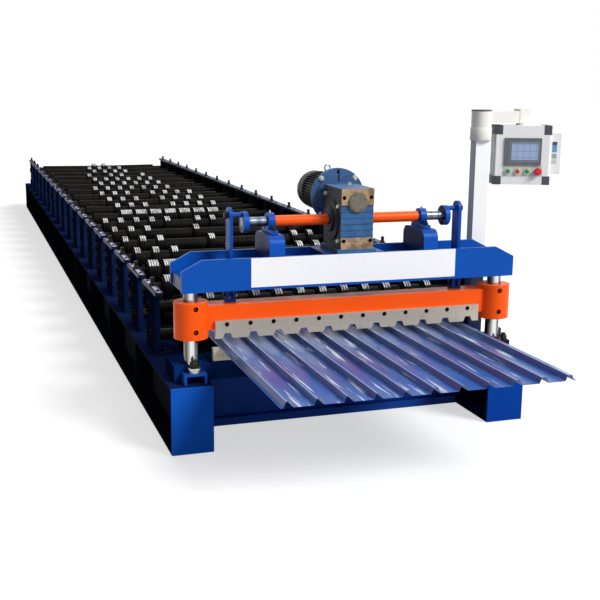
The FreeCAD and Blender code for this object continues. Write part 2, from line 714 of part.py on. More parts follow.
def crank_disc():
    """Right crank disc with its pin."""
    start = Vector(DISC_INNER, CRANK_Y, CRANK_HEIGHT)
    disc = rod(DISC_RADIUS, DISC_THICKNESS, start, ALONG_X)
    hole = rod(CRANK_SHAFT_RADIUS, DISC_THICKNESS, start, ALONG_X)
    pin_start = Vector(DISC_INNER + DISC_THICKNESS, CRANK_Y, PIN_HEIGHT)
    pin_end = ROD_CENTRE + ROD_THICKNESS / 2 + PIN_OVERHANG
    pin = rod(PIN_RADIUS, pin_end - pin_start.x, pin_start, ALONG_X)
    return disc.cut(hole).fuse(pin).removeSplitter()


def connecting_rod():
    """Right rod: round boss on the crank pin and flat shank."""
    low = ROD_CENTRE - ROD_THICKNESS / 2
    half = ROD_WIDTH / 2
    start = Vector(low, CRANK_Y, PIN_HEIGHT)
    boss = rod(half, ROD_THICKNESS, start, ALONG_X)
    shank = box(low, low + ROD_THICKNESS, CRANK_Y - half, CRANK_Y + half, ROD_BOTTOM, PIN_HEIGHT)
    bore = rod(PIN_RADIUS + RUNNING_CLEARANCE, ROD_THICKNESS, start, ALONG_X)
    return boss.fuse(shank).removeSplitter().cut(bore)


# Worm reducer and motor
def reducer_face():
    """Machined foot pad, head pad with its ring, and the ribs between them."""
    half = REDUCER_WIDTH / 2
    low = FRAME_TOP + FOOT_THICKNESS
    top = WORM_HEIGHT + WORM_HOUSING_RADIUS
    back = REDUCER_FRONT + 2 * FACE_PAD_RISE
    foot_pad = box(-half, half, REDUCER_FRONT, back, low, low + FOOT_PAD_HEIGHT)
    head_pad = box(-half, half, REDUCER_FRONT, back, WORM_HEIGHT - HEAD_PAD_DROP, top)
    ring = rod(COVER_RING_RADIUS, back - REDUCER_FRONT, Vector(0, REDUCER_FRONT, WORM_HEIGHT), ALONG_Y)
    shapes = [foot_pad, head_pad, ring]
    rib_front = REDUCER_FRONT + FACE_PAD_RISE - FACE_RIB_RISE
    bay = (WORM_HEIGHT - HEAD_PAD_DROP - low - FOOT_PAD_HEIGHT) / (FACE_RIB_COUNT + 1)
    for index in range(FACE_RIB_COUNT):
        height = low + FOOT_PAD_HEIGHT + (index + 1) * bay - FACE_RIB_THICKNESS / 2
        shapes.append(box(-half, half, rib_front, back, height, height + FACE_RIB_THICKNESS))
    return shapes


def gear_reducer():
    """Housing: worm above, wheel bosses and output hubs below, foot underneath."""
    half = REDUCER_WIDTH / 2
    low = FRAME_TOP + FOOT_THICKNESS
    top = WORM_HEIGHT + WORM_HOUSING_RADIUS
    piece = box(-half, half, REDUCER_FRONT + FACE_PAD_RISE, REDUCER_BACK, low, top)
    foot = box(-FOOT_WIDTH / 2, FOOT_WIDTH / 2, REDUCER_FRONT, REDUCER_BACK, FRAME_TOP, low)
    boss_length = REDUCER_WIDTH + 2 * WHEEL_BOSS_RISE
    boss = rod(WHEEL_BOSS_RADIUS, boss_length, Vector(-boss_length / 2, CRANK_Y, CRANK_HEIGHT), ALONG_X)
    hub_length = REDUCER_WIDTH + 2 * HUB_LENGTH
    hubs = rod(HUB_RADIUS, hub_length, Vector(-hub_length / 2, CRANK_Y, CRANK_HEIGHT), ALONG_X)
    neck = rod(MOTOR_NECK_RADIUS, MOTOR_NECK_LENGTH, Vector(0, REDUCER_BACK, WORM_HEIGHT), ALONG_Y)
    for shape in [foot, boss, hubs, neck] + reducer_face():
        piece = piece.fuse(shape)
    bore = rod(CRANK_SHAFT_RADIUS + RUNNING_CLEARANCE, hub_length,
               Vector(-hub_length / 2, CRANK_Y, CRANK_HEIGHT), ALONG_X)
    return piece.removeSplitter().cut(bore)


def reducer_cover():
    """Round end cover of the worm."""
    return rod(COVER_RADIUS, COVER_THICKNESS, Vector(0, REDUCER_FRONT - COVER_THICKNESS, WORM_HEIGHT),
               ALONG_Y)


def motor_flange():
    """Stepped round flange between reducer and motor."""
    plate = rod(MOTOR_FLANGE_RADIUS, MOTOR_FLANGE_THICKNESS, Vector(0, FLANGE_Y, WORM_HEIGHT), ALONG_Y)
    step = rod(FLANGE_STEP_RADIUS, FLANGE_STEP_RISE, Vector(0, FLANGE_Y - FLANGE_STEP_RISE, WORM_HEIGHT),
               ALONG_Y)
    around = rod(MOTOR_NECK_RADIUS, FLANGE_STEP_RISE, Vector(0, FLANGE_Y - FLANGE_STEP_RISE, WORM_HEIGHT),
                 ALONG_Y)
    return plate.fuse(step).removeSplitter().cut(around)


def lifting_eye(y):
    """Eye bolt on top of the motor."""
    foot_start = Vector(0, y, WORM_HEIGHT + MOTOR_RADIUS - EYE_RADIUS)
    foot = rod(EYE_RADIUS, EYE_FOOT_HEIGHT + EYE_RADIUS, foot_start, ALONG_Z)
    centre = WORM_HEIGHT + MOTOR_RADIUS + EYE_FOOT_HEIGHT + EYE_RADIUS
    ring = Part.makeTorus(EYE_RADIUS, EYE_BAR_RADIUS, Vector(0, y, centre), ALONG_Y)
    return foot.fuse(ring)


def drive_motor():
    """Motor body with its domed fan cover, terminal box and lifting eye."""
    start = FLANGE_Y + MOTOR_FLANGE_THICKNESS
    end = start + MOTOR_LENGTH
    body = rod(MOTOR_RADIUS, MOTOR_LENGTH, Vector(0, start, WORM_HEIGHT), ALONG_Y)
    cover = rod(MOTOR_RADIUS - FAN_COVER_STEP, MOTOR_FAN_COVER, Vector(0, end, WORM_HEIGHT), ALONG_Y)
    rim = [edge for edge in cover.Edges if abs(edge.CenterOfMass.y - end - MOTOR_FAN_COVER) < 0.1]
    cover = cover.makeFillet(FAN_COVER_ROUND, rim)
    half = TERMINAL_BOX / 2
    terminal = box(MOTOR_RADIUS - TERMINAL_SINK, MOTOR_RADIUS + TERMINAL_RISE,
                   start + TERMINAL_START, start + TERMINAL_START + TERMINAL_BOX,
                   WORM_HEIGHT - half, WORM_HEIGHT + half)
    return body.fuse(cover).fuse(terminal).fuse(lifting_eye(start + EYE_Y)).removeSplitter()


# Control post, arm and box
def control_post():
    """Rectangular tube on the right beam with a foot plate and a spigot."""
    x = CONTROL_POST_X
    y = CONTROL_POST_Y
    half_x = CONTROL_POST_WIDTH / 2
    half_y = CONTROL_POST_DEPTH / 2
    low = BEAM_HEIGHT + CONTROL_FOOT_THICKNESS
    tube = box(x - half_x, x + half_x, y - half_y, y + half_y, low, CONTROL_POST_TOP)
    hollow = box(x - half_x + CONTROL_POST_WALL, x + half_x - CONTROL_POST_WALL,
                 y - half_y + CONTROL_POST_WALL, y + half_y - CONTROL_POST_WALL,
                 low, CONTROL_POST_TOP - CONTROL_POST_WALL)
    foot = box(x - CONTROL_FOOT / 2, x + CONTROL_FOOT / 2, y - CONTROL_FOOT / 2, y + CONTROL_FOOT / 2,
               BEAM_HEIGHT, low)
    spigot = rod(HEAD_SPIGOT_RADIUS, HEAD_HEIGHT - HEAD_ROOF, Vector(x, y, CONTROL_POST_TOP), ALONG_Z)
    return tube.cut(hollow).fuse(foot).fuse(spigot).removeSplitter()


def control_arm():
    """Swivel head on the post, arm, and the knuckle and collar that the box hangs from."""
    x = CONTROL_POST_X
    y = CONTROL_POST_Y
    low = CONTROL_POST_TOP + COUPLING_GAP
    head = rod(HEAD_RADIUS, HEAD_HEIGHT, Vector(x, y, low), ALONG_Z)
    half = ARM_SECTION / 2
    arm = box(x, x + ARM_REACH, y - half, y + half, ARM_HEIGHT - half, ARM_HEIGHT + half)
    reach = KNUCKLE_WIDTH / 2
    knuckle = box(x + ARM_REACH - reach, x + ARM_REACH + reach, y - reach, y + reach,
                  ARM_HEIGHT - half, ARM_HEIGHT + half + KNUCKLE_RISE)
    collar_start = Vector(x + ARM_REACH, y, ARM_HEIGHT - half - COUPLING_DROP)
    collar = rod(COUPLING_RADIUS, COUPLING_DROP, collar_start, ALONG_Z)
    socket_radius = HEAD_SPIGOT_RADIUS + RUNNING_CLEARANCE
    socket = rod(socket_radius, HEAD_HEIGHT - HEAD_ROOF, Vector(x, y, low), ALONG_Z)
    return head.fuse(arm).fuse(knuckle).fuse(collar).removeSplitter().cut(socket)


def box_frame():
    """Placement of the control box: hung from the collar and turned to the operator."""
    x = CONTROL_POST_X + ARM_REACH
    top = ARM_HEIGHT - ARM_SECTION / 2 - COUPLING_DROP - COUPLING_GAP
    return FreeCAD.Placement(Vector(x, CONTROL_POST_Y, top), FreeCAD.Rotation(ALONG_Z, BOX_TURN))


def placed(shape):
    """Box piece moved from the box's own frame to the machine."""
    moved = shape.copy()
    moved.Placement = box_frame().multiply(shape.Placement)
    return moved


def control_box():
    """Sheet metal box, in its own frame with its top centre at the origin."""
    half = BOX_WIDTH / 2 - BOX_CORNER
    return placed(box(-half, half, -BOX_DEPTH / 2, BOX_DEPTH / 2, -BOX_HEIGHT, 0))


def box_corners():
    """Corner columns on both sides of the box, the right one with the socket housing."""
    half = BOX_WIDTH / 2
    column = box(half - BOX_CORNER, half, -BOX_DEPTH / 2, BOX_DEPTH / 2, -BOX_HEIGHT, 0)
    edges = [edge for edge in column.Edges
             if abs(edge.CenterOfMass.x - half) < 0.1 and abs(edge.CenterOfMass.z + BOX_HEIGHT / 2) < 0.1]
    column = column.makeFillet(BOX_CORNER_ROUND, edges)
    sockets = box(half, half + SOCKET_REACH, -SOCKET_DEPTH / 2, SOCKET_DEPTH / 2,
                  -SOCKET_DROP - SOCKET_HEIGHT, -SOCKET_DROP)
    right_column = column.fuse(sockets).removeSplitter()
    return [placed(mirrored(column)), placed(right_column)]


def touch_screen():
    """Screen bezel on the front of the box."""
    half = BEZEL_WIDTH / 2
    low = -BEZEL_DROP - BEZEL_HEIGHT
    front = -BOX_DEPTH / 2
    return placed(box(-half, half, front - BEZEL_THICKNESS, front, low, low + BEZEL_HEIGHT))


def push_buttons():
    """Three buttons and the emergency stop under the screen."""
    front = -BOX_DEPTH / 2
    height = BUTTON_RISE - BOX_HEIGHT
    buttons = [rod(BUTTON_RADIUS, BUTTON_LENGTH,
                   Vector(index * BUTTON_PITCH - BUTTON_REACH, front - BUTTON_LENGTH, height),
                   ALONG_Y) for index in range(3)]
    buttons.append(rod(STOP_RADIUS, STOP_LENGTH, Vector(BUTTON_REACH, front - STOP_LENGTH, height),
                       ALONG_Y))
    return [placed(shape) for shape in buttons]


def main():
    """Build and write every sub-part."""
    os.makedirs("parts", exist_ok=True)
    places = station_places()

    save("left_base_beam", mirrored(base_beam()))
    save("right_base_beam", base_beam())
    save("front_cross_member", front_cross_member())
    save("base_cross_members", base_cross_members())

    save("left_stand_plates", [mirrored(stand_plate(y)) for y in places])
    save("right_stand_plates", [stand_plate(y) for y in places])
    save("left_tie_strips", [tie_strip(y) for y in places])
    save("right_top_rail", top_rail())
    save("adjusting_screws", [adjusting_screw(side * STAND_CENTRE, y) for side in (-1, 1) for y in places])
    for station in range(STATION_COUNT):
        save("upper_roll_%02d" % (station + 1), upper_roll(station))
    save("lower_rolls", [lower_roll(y) for y in places])
    save("entry_table", entry_table())
    save("formed_sheet", formed_sheet())

    save("front_frame_plate", frame_plate(FRAME_FRONT))
    save("rear_frame_plate", frame_plate(FRAME_FRONT + FRAME_DEPTH - FRAME_PLATE))
    save("frame_cross_plates", frame_cross_plates())
    save("bearing_brackets", both_sides(bearing_bracket()))
    save("pillow_blocks", both_sides(pillow_block()))
    save("sign_plate", sign_plate())
    save("guide_posts", both_sides(guide_post()))
    save("post_seats", both_sides(post_seat()))
    save("hold_down_clamps", both_sides(hold_down()))
    save("bottom_beam", bottom_beam())
    save("lower_blade", lower_blade())

    save("upper_blade", upper_blade())
    save("blade_beam", blade_beam())
    save("guide_sleeves", both_sides(guide_sleeve()))
    save("beam_clevises", both_sides(beam_clevis()))

    save("crank_shaft", crank_shaft())
    save("crank_tubes", both_sides(crank_tube()))
    save("crank_discs", both_sides(crank_disc()))
    save("left_connecting_rod", mirrored(connecting_rod()))
    save("right_connecting_rod", connecting_rod())

    save("gear_reducer", gear_reducer())
    save("reducer_cover", reducer_cover())
    save("motor_flange", motor_flange())
    save("drive_motor", drive_motor())

    save("control_post", control_post())
    save("control_arm", control_arm())
    save("control_box", control_box())
    save("box_corners", box_corners())
    save("touch_screen", touch_screen())
    save("push_buttons", push_buttons())


main()
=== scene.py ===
"""Looks of the roll forming machine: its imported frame, dressed with finishes and fittings."""
import logging
import math
from dataclasses import dataclass, field
from enum import Enum
from typing import Any, Iterable, Sequence

import bpy
from mathutils import Matrix, Vector


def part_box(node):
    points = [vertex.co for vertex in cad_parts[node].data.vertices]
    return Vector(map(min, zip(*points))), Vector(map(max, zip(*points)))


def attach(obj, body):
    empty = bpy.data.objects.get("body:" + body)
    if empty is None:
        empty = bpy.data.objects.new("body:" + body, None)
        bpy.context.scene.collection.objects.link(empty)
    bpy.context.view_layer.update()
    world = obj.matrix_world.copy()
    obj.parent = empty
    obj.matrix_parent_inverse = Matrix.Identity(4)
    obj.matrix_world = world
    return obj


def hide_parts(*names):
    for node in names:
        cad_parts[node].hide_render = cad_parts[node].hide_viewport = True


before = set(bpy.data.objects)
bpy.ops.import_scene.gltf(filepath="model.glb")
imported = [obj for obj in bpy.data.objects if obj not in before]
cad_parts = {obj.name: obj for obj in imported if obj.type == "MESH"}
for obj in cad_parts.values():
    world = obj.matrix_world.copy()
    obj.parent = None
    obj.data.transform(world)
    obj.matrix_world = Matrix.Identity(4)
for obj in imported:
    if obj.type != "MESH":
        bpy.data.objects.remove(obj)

log = logging.getLogger("roll_former")

Socket = tuple[bpy.types.Node, Any]
Profile = Sequence[tuple[float, float]]

MM = 0.001
SIDES = (-1, 1)
FULL_WHITE = (1.0, 1.0, 1.0, 1.0)
# Edges of pieces flatter than this are shaded smooth
SMOOTH_BELOW = math.radians(35)
# Edges of CAD nodes sharper than this are broken, once corners this close are joined
BREAK_ABOVE = math.radians(40)
JOIN_REACH = 0.00002
# Values of noise where patches and specks begin and are full
PATCH_EDGES = (0.35, 0.65)
SPECK_EDGES = (0.58, 0.72)
# How far a face looks aside or up where the painted side shade, and the dust with its painted top light,
# begin and are full
ASIDE_EDGES = (0.55, 0.9)
UP_EDGES = (0.5, 1.0)
# Size in millimetres of the clouds that the dust and painted top light lie in, and roughness of every clear
# coat
CLOUD_MM = 90.0
COAT_ROUGHNESS = 0.12
# Radius under which a turned profile closes in a point
CLOSED = 1e-7
# Bodies that most pieces ride on
FIXED = "machine_base"
CARRIAGE = "shear_carriage"
CRANK = "crank"
ARM = "control_arm"
BOX = "control_box"
# Rows of the roll stations, counted from the exit end
STATIONS = 18
FIRST_STATION = 0.331
STATION_PITCH = 0.5
STAND_X = 0.8575
RIB_PITCH = 0.125
# Line of the crank shaft
CRANK_Y = -0.2175
CRANK_Z = 1.05


class Axis(Enum):
    """Direction that a turned piece or a fastener points along."""

    X = (1.0, 0.0, 0.0)
    Y = (0.0, 1.0, 0.0)
    Z = (0.0, 0.0, 1.0)
    LEFT = (-1.0, 0.0, 0.0)
    FRONT = (0.0, -1.0, 0.0)

    def at(self, centre: Sequence[float]) -> Matrix:
        """Placement at a point, with its own Z along this direction."""
        turn = Vector((0, 0, 1)).rotation_difference(Vector(self.value)).to_matrix().to_4x4()
        return Matrix.Translation(Vector(centre)) @ turn


Spots = Iterable[tuple[Sequence[float], Axis]]


class Grain(Enum):
    """How a surface's fine pattern is drawn out: the scale of its coordinates on each axis."""

    EVEN = (1.0, 1.0, 1.0)
    ALONG_X = (0.04, 1.0, 1.0)
    ALONG_Y = (1.0, 0.04, 1.0)
    ALONG_Z = (1.0, 1.0, 0.04)
    STREAKED_Y = (1.0, 0.16, 1.0)
    DRAWN_Y = (1.0, 0.07, 1.0)
    ROUND_X = (1.0, 0.03, 0.03)


def linear(code: str) -> tuple[float, float, float, float]:
    """Turn an sRGB hex colour to linear light.

    Args:
        code: Colour as "#RRGGBB".

    Returns:
        Red, green, blue and an alpha of one.
    """
    parts = [int(code[at:at + 2], 16) / 255 for at in (1, 3, 5)]
    red, green, blue = [p / 12.92 if p <= 0.04045 else ((p + 0.055) / 1.055) ** 2.4 for p in parts]
    return red, green, blue, 1.0


class Graph:
    """Node tree of a material or of the world, with short ways to add what finishes need."""

    def __init__(self, owner: bpy.types.Material | bpy.types.World) -> None:
        """Start with an empty tree.

        Args:
            owner: Material or world that the tree belongs to.
        """
        owner.use_nodes = True
        self.tree = owner.node_tree
        self.tree.nodes.clear()
        self.split: dict[str, bpy.types.Node] = {}

    def add(self, kind: str, settings: dict[Any, Any] | None = None,
            links: dict[Any, Socket] | None = None) -> bpy.types.Node:
        """Add a node with its settings and links.

        Args:
            kind: Node type without its prefix, such as "Mix".
            settings: Attribute or socket values; "stops" sets the colours of a ramp.
            links: Input socket to the node and output socket that feeds it.

        Returns:
            The new node.
        """
        node = self.tree.nodes.new("ShaderNode" + kind)
        for key, value in (settings or {}).items():
            if key == "stops":
                ramp = node.color_ramp
                while len(ramp.elements) < len(value):
                    ramp.elements.new(1.0)
                for element, (place, colour) in zip(ramp.elements, value):
                    element.position = place
                    element.color = colour
            elif isinstance(key, str) and hasattr(node, key):
                setattr(node, key, value)
            else:
                node.inputs[key].default_value = value
        for key, (source, output) in (links or {}).items():
            self.tree.links.new(source.outputs[output], node.inputs[key])
        return node

    def math(self, operation: str, *values: Socket | float) -> Socket:
        """Add an operation on numbers.

        Args:
            operation: Blender's name for it.
            values: Numbers, or nodes and outputs that give them, in the order of the inputs.

        Returns:
            Node and output of the result.
        """
        settings: dict[Any, Any] = {"operation": operation}
        links: dict[Any, Socket] = {}
        for at, value in enumerate(values):
            (links if isinstance(value, tuple) else settings)[at] = value
        return self.add("Math", settings, links), 0

    def product(self, *shares: Socket) -> Socket:
        """Multiply shares.

        Args:
            shares: Nodes and outputs to multiply.

        Returns:
            Node and output of the product.
        """
        result = shares[0]
        for share in shares[1:]:
            result = self.math("MULTIPLY", result, share)
        return result

    def part(self, kind: str, output: str, axis: int) -> Socket:
        """One part of a vector, which is split only once in a tree.

        Args:
            kind: Node type that gives the vector.
            output: Its output.
            axis: Number of the part: 0, 1 or 2.

        Returns:
            Node and output of the part.
        """
        if output not in self.split:
            self.split[output] = self.add("SeparateXYZ", {}, {0: (self.add(kind), output)})
        return self.split[output], axis

    def place(self, axis: int) -> Socket:
        """X, Y or Z of the point, in the machine's frame."""
        return self.part("TexCoord", "Object", axis)

    def facing(self, axis: int) -> Socket:
        """X, Y or Z of the way that the surface faces."""
        return self.part("NewGeometry", "Normal", axis)

    def mix(self, share: Socket, low: Socket | str, high: Socket | str) -> Socket:
        """Blend two colours.

        Args:
            share: How much of the second colour shows.
            low: First colour, or the node and output that give it.
            high: Second colour, or the node and output that give it.

        Returns:
            Node and output of the blend.
        """
        settings: dict[Any, Any] = {"data_type": "RGBA"}
        links: dict[Any, Socket] = {0: share}
        for socket, value in ((6, low), (7, high)):
            if isinstance(value, str):
                settings[socket] = linear(value)
            else:
                links[socket] = value
        return self.add("Mix", settings, links), 2

    def spread(self, source: Socket, low: float, high: float, to_low: float = 0.0,
               to_high: float = 1.0) -> Socket:
        """Stretch a value's range and clamp it.

        Args:
            source: Node and output with the value.
            low: Value that becomes `to_low`.
            high: Value that becomes `to_high`.
            to_low: New low end.
            to_high: New high end.

        Returns:
            Node and output of the new value.
        """
        settings = {"From Min": low, "From Max": high, "To Min": to_low, "To Max": to_high}
        return self.add("MapRange", settings, {"Value": source}), 0

    def past(self, source: Socket, edge: float, width: float = 0.001, most: float = 1.0) -> Socket:
        """Share that is nothing up to an edge and `most` past it."""
        return self.spread(source, edge, edge + width, 0.0, most)

    def before(self, source: Socket, edge: float, width: float = 0.001, most: float = 1.0) -> Socket:
        """Share that is `most` up to an edge and nothing past it."""
        return self.spread(source, edge, edge + width, most, 0.0)

    def blotches(self, size_mm: float, grain: Grain = Grain.EVEN, detail: float = 4.0) -> Socket:
        """Noise of a real size.

        Args:
            size_mm: Size of one blotch, in millimetres.
            grain: How the pattern is drawn out.
            detail: Number of finer layers.

        Returns:
            Node and output of the noise, about 0.3 to 0.7.
        """
        place: Socket = self.add("TexCoord"), "Object"
        if grain is not Grain.EVEN:
            place = self.add("Mapping", {"Scale": grain.value}, {"Vector": place}), 0
        return self.add("TexNoise", {"Scale": 1000 / size_mm, "Detail": detail}, {"Vector": place}), 0


@dataclass(frozen=True)
class Finish:
    """A surface named for its material and for how it was made.

    Colour runs in patches from `colour` to `second`. A top colour lies on what faces up: dust
    on some finishes, painted shade on the tops of blue enamels and a painted highlight on small
    blue parts. `soil` gathers in small specks, and faces that look left, or to both sides, take
    painted shade: each is a colour and the share that it takes, soil with the size of a speck
    between them. `patches` and `grain` are a size with a share and a size with a depth. All
    sizes are real ones, in millimetres.
    """

    name: str
    slot: str
    colour: str
    second: str
    patches: tuple[float, float] = (220.0, 0.5)
    metallic: float = 0.0
    roughness: float = 0.4
    roughness_spread: float = 0.08
    ior: float = 1.5
    specular: float = 0.5
    coat: float = 0.0
    grain: tuple[float, float] = (3.0, 0.05)
    drawn: Grain = Grain.EVEN
    dust_and_painted_top_light: tuple[str, float] | None = None
    soil: tuple[str, float, float] | None = None
    painted_side_shade: tuple[str, float] | None = None
    painted_side_shade_both: bool = False
    glow: float = 0.0

    def paint(self, graph: Graph) -> Socket:
        """Colour of the bare surface with its painted side shade, before the top colour.

        Args:
            graph: Node tree of the material.

        Returns:
            Node and output of the colour.
        """
        size, most = self.patches
        share = graph.spread(graph.blotches(size, self.drawn), *PATCH_EDGES, 0.0, most)
        colour = graph.mix(share, self.colour, self.second)
        if self.soil:
            soil, size, most = self.soil
            specks = graph.spread(graph.blotches(size, detail=6.0), *SPECK_EDGES, 0.0, most)
            colour = graph.mix(specks, colour, soil)
        # Painted shade on faces that look left, or to both sides
        if self.painted_side_shade:
            painted_side_shade, most = self.painted_side_shade
            across = graph.facing(0)
            aside = graph.math(*(("ABSOLUTE", across) if self.painted_side_shade_both else ("MULTIPLY", across, -1.0)))
            colour = graph.mix(graph.spread(aside, *ASIDE_EDGES, 0.0, most), colour, painted_side_shade)
        return colour

    def shine(self, graph: Graph) -> dict[str, Socket]:
        """Roughness and bump of the surface.

        Args:
            graph: Node tree of the material.

        Returns:
            Links for the shader.
        """
        size, depth = self.grain
        fine = graph.blotches(size, self.drawn, 2.0)
        broad = graph.blotches(self.patches[0] / 2, self.drawn, 3.0)
        rough = graph.spread(broad, 0.3, 0.7, self.roughness - self.roughness_spread,
                             self.roughness + self.roughness_spread)
        bump = graph.add("Bump", {"Strength": 1.0, "Distance": depth * MM}, {"Height": fine})
        return {"Roughness": rough, "Normal": (bump, 0)}

    def dusted_and_top_lit(self, graph: Graph, colour: Socket) -> Socket:
        """Top colour on the faces that look up: dust, painted shade or a painted highlight, by finish.

        Args:
            graph: Node tree of the material.
            colour: Node and output of the bare surface's colour.

        Returns:
            Node and output of the colour with its top colour.
        """
        # Dust on some finishes; on blue enamels painted shade, on small blue parts a painted highlight
        if not self.dust_and_painted_top_light:
            return colour
        dust_and_painted_top_light, most = self.dust_and_painted_top_light
        upward = graph.spread(graph.facing(2), *UP_EDGES, 0.0, most)
        clouds = graph.spread(graph.blotches(CLOUD_MM), 0.3, 0.65, 0.15, 1.0)
        return graph.mix(graph.product(upward, clouds), colour, dust_and_painted_top_light)

    def build(self) -> bpy.types.Material:
        """Make the material, or return it if it is there already.

        Returns:
            The material.
        """
        found = bpy.data.materials.get(self.name)
        if found is not None:
            return found
        material = bpy.data.materials.new(self.name)
        graph = Graph(material)
        links = {"Base Color": self.dusted_and_top_lit(graph, self.paint(graph)), **self.shine(graph)}
        even = {"Metallic": self.metallic, "IOR": self.ior, "Specular IOR Level": self.specular,
                "Coat Weight": self.coat, "Coat Roughness": COAT_ROUGHNESS}
        if self.glow > 0:
            links["Emission Color"] = links["Base Color"]
            even["Emission Strength"] = self.glow
        shader = graph.add("BsdfPrincipled", even, links)
        graph.add("OutputMaterial", {}, {"Surface": (shader, 0)})
        material.diffuse_color = linear(self.colour)
        return material


@dataclass(frozen=True)
class TurnedRolls(Finish):
    """Blackened roll steel whose working rings are turned bright.

    A point takes a painted highlight where it lies further from the roll's axis than
    `bright_from_mm` and looks up more than `top_from`; below that the rings are painted as
    black as the sleeve, a painted reflection of dark surroundings.
    """

    bright: str = "#D4D7DA"
    stained: str = "#77736C"
    axis_height: float = 0.544
    bright_from_mm: float = 70.5
    top_from: float = 0.58

    def ring_share(self, graph: Graph) -> Socket:
        """How bright a point is, by its distance from the nearest roll axis.

        Args:
            graph: Node tree of the material.

        Returns:
            Node and output, 0 on the sleeve and 1 on a ring.
        """
        half = STATION_PITCH / 2
        along = graph.math("SUBTRACT", graph.place(1), FIRST_STATION - half)
        side = graph.math("SUBTRACT", graph.math("WRAP", along, STATION_PITCH, 0.0), half)
        up = graph.math("SUBTRACT", graph.place(2), self.axis_height)
        flat = graph.add("CombineXYZ", {}, {1: side, 2: up}), 0
        radius = graph.add("VectorMath", {"operation": "LENGTH"}, {0: flat}), "Value"
        return graph.past(radius, (self.bright_from_mm - 1.5) * MM, 3 * MM)

    def paint(self, graph: Graph) -> Socket:
        """Black sleeve with rings that carry a painted highlight on top."""
        stain = graph.spread(graph.blotches(42.0), 0.46, 0.62, 0.0, 0.8)
        bright = graph.mix(stain, self.bright, self.stained)
        # Painted highlight: the rings are bright only where they face up
        top = graph.past(graph.facing(2), self.top_from, 0.1)
        return graph.mix(graph.product(self.ring_share(graph), top), super().paint(graph), bright)

    def shine(self, graph: Graph) -> dict[str, Socket]:
        """Soft gloss round the roll, none on its end faces, which old oil has dulled."""
        links = super().shine(graph)
        ends = graph.math("ABSOLUTE", graph.facing(0))
        links["Specular IOR Level"] = graph.before(ends, 0.7, 0.2, self.specular)
        links["Metallic"] = graph.before(ends, 0.7, 0.2, self.metallic)
        return links


@dataclass(frozen=True)
class MachinedCasting(Finish):
    """Painted casting whose front pads are milled bare and have gone brown with storage oil.

    The bare metal starts above the foot flange; below `band_top` it takes the whole front.
    What stands out past `side_x` is painted near black as shade.
    """

    bare: str = "#B39A78"
    bare_second: str = "#7E6547"
    painted_shade_black: str = "#2B2A2F"
    pad_y: float = -0.3485
    foot_top: float = 0.9205
    band_top: float = 0.974
    side_x: float = 0.0818

    def paint(self, graph: Graph) -> Socket:
        """Paint with bare pads on the plane that was milled, and sides painted near black as shade."""
        bare = graph.mix(graph.spread(graph.blotches(38.0), 0.38, 0.62), self.bare, self.bare_second)
        pads = graph.before(graph.place(1), self.pad_y, 0.0006)
        milled = graph.math("MAXIMUM", pads, graph.before(graph.place(2), self.band_top))
        above_foot = graph.past(graph.place(2), self.foot_top)
        faces_front = graph.before(graph.facing(1), -0.9, 0.3)
        coloured = graph.mix(graph.product(milled, faces_front, above_foot), super().paint(graph), bare)
        # Painted shade: near black on what stands out to the sides
        sides = graph.past(graph.math("ABSOLUTE", graph.place(0)), self.side_x, 0.0006, 0.96)
        return graph.mix(graph.product(sides, above_foot), coloured, self.painted_shade_black)


@dataclass(frozen=True)
class BeamPaint(Finish):
    """Enamel along a beam, painted dark as shade, bluer on its top, with a blue plate over its front end."""

    plate: str = "#1757BA"
    plate_foot_painted_light: str = "#1A64D6"
    top: str = "#16244E"
    top_from: float = 0.316
    plate_y: float = -0.3885
    shift_low: float = 0.02
    shift_high: float = 0.3

    def paint(self, graph: Graph) -> Socket:
        """Beam painted dark as shade below a bluer top, and a blue end whose blue shifts a little towards
        the floor as painted light.
        """
        # Painted shade: the beam is dark below its bluer top
        dark = graph.mix(graph.past(graph.place(2), self.top_from, most=0.9), super().paint(graph), self.top)
        # Painted light: the end plate's blue shifts towards the floor
        height = graph.spread(graph.place(2), self.shift_low, self.shift_high)
        blue = graph.mix(height, self.plate_foot_painted_light, self.plate)
        return graph.mix(graph.before(graph.place(1), self.plate_y, 0.0006), dark, blue)


@dataclass(frozen=True)
class RubbedStrip(Finish):
    """Dark enamel rubbed pale in a line along the middle of its top."""

    rubbed: str = "#B0AFD4"
    half_band_mm: float = 9.5

    def paint(self, graph: Graph) -> Socket:
        """Dark strip with the pale line, broken where the paint still holds."""
        off = graph.math("SUBTRACT", graph.math("ABSOLUTE", graph.place(0)), STAND_X)
        band = graph.before(graph.math("ABSOLUTE", off), (self.half_band_mm - 2) * MM, 4 * MM)
        worn = graph.spread(graph.blotches(55.0), 0.3, 0.45, 0.45, 1.0)
        top = graph.spread(graph.facing(2), 0.8, 0.95)
        return graph.mix(graph.product(band, worn, top), super().paint(graph), self.rubbed)


@dataclass(frozen=True)
class PostCoat(Finish):
    """Light powder coat over a post whose foot is in the machine's dark enamel."""

    foot: str = "#0D1A3C"
    foot_top: float = 0.79

    def paint(self, graph: Graph) -> Socket:
        """Light above, dark below the line where the two coats meet."""
        return graph.mix(graph.before(graph.place(2), self.foot_top), super().paint(graph), self.foot)


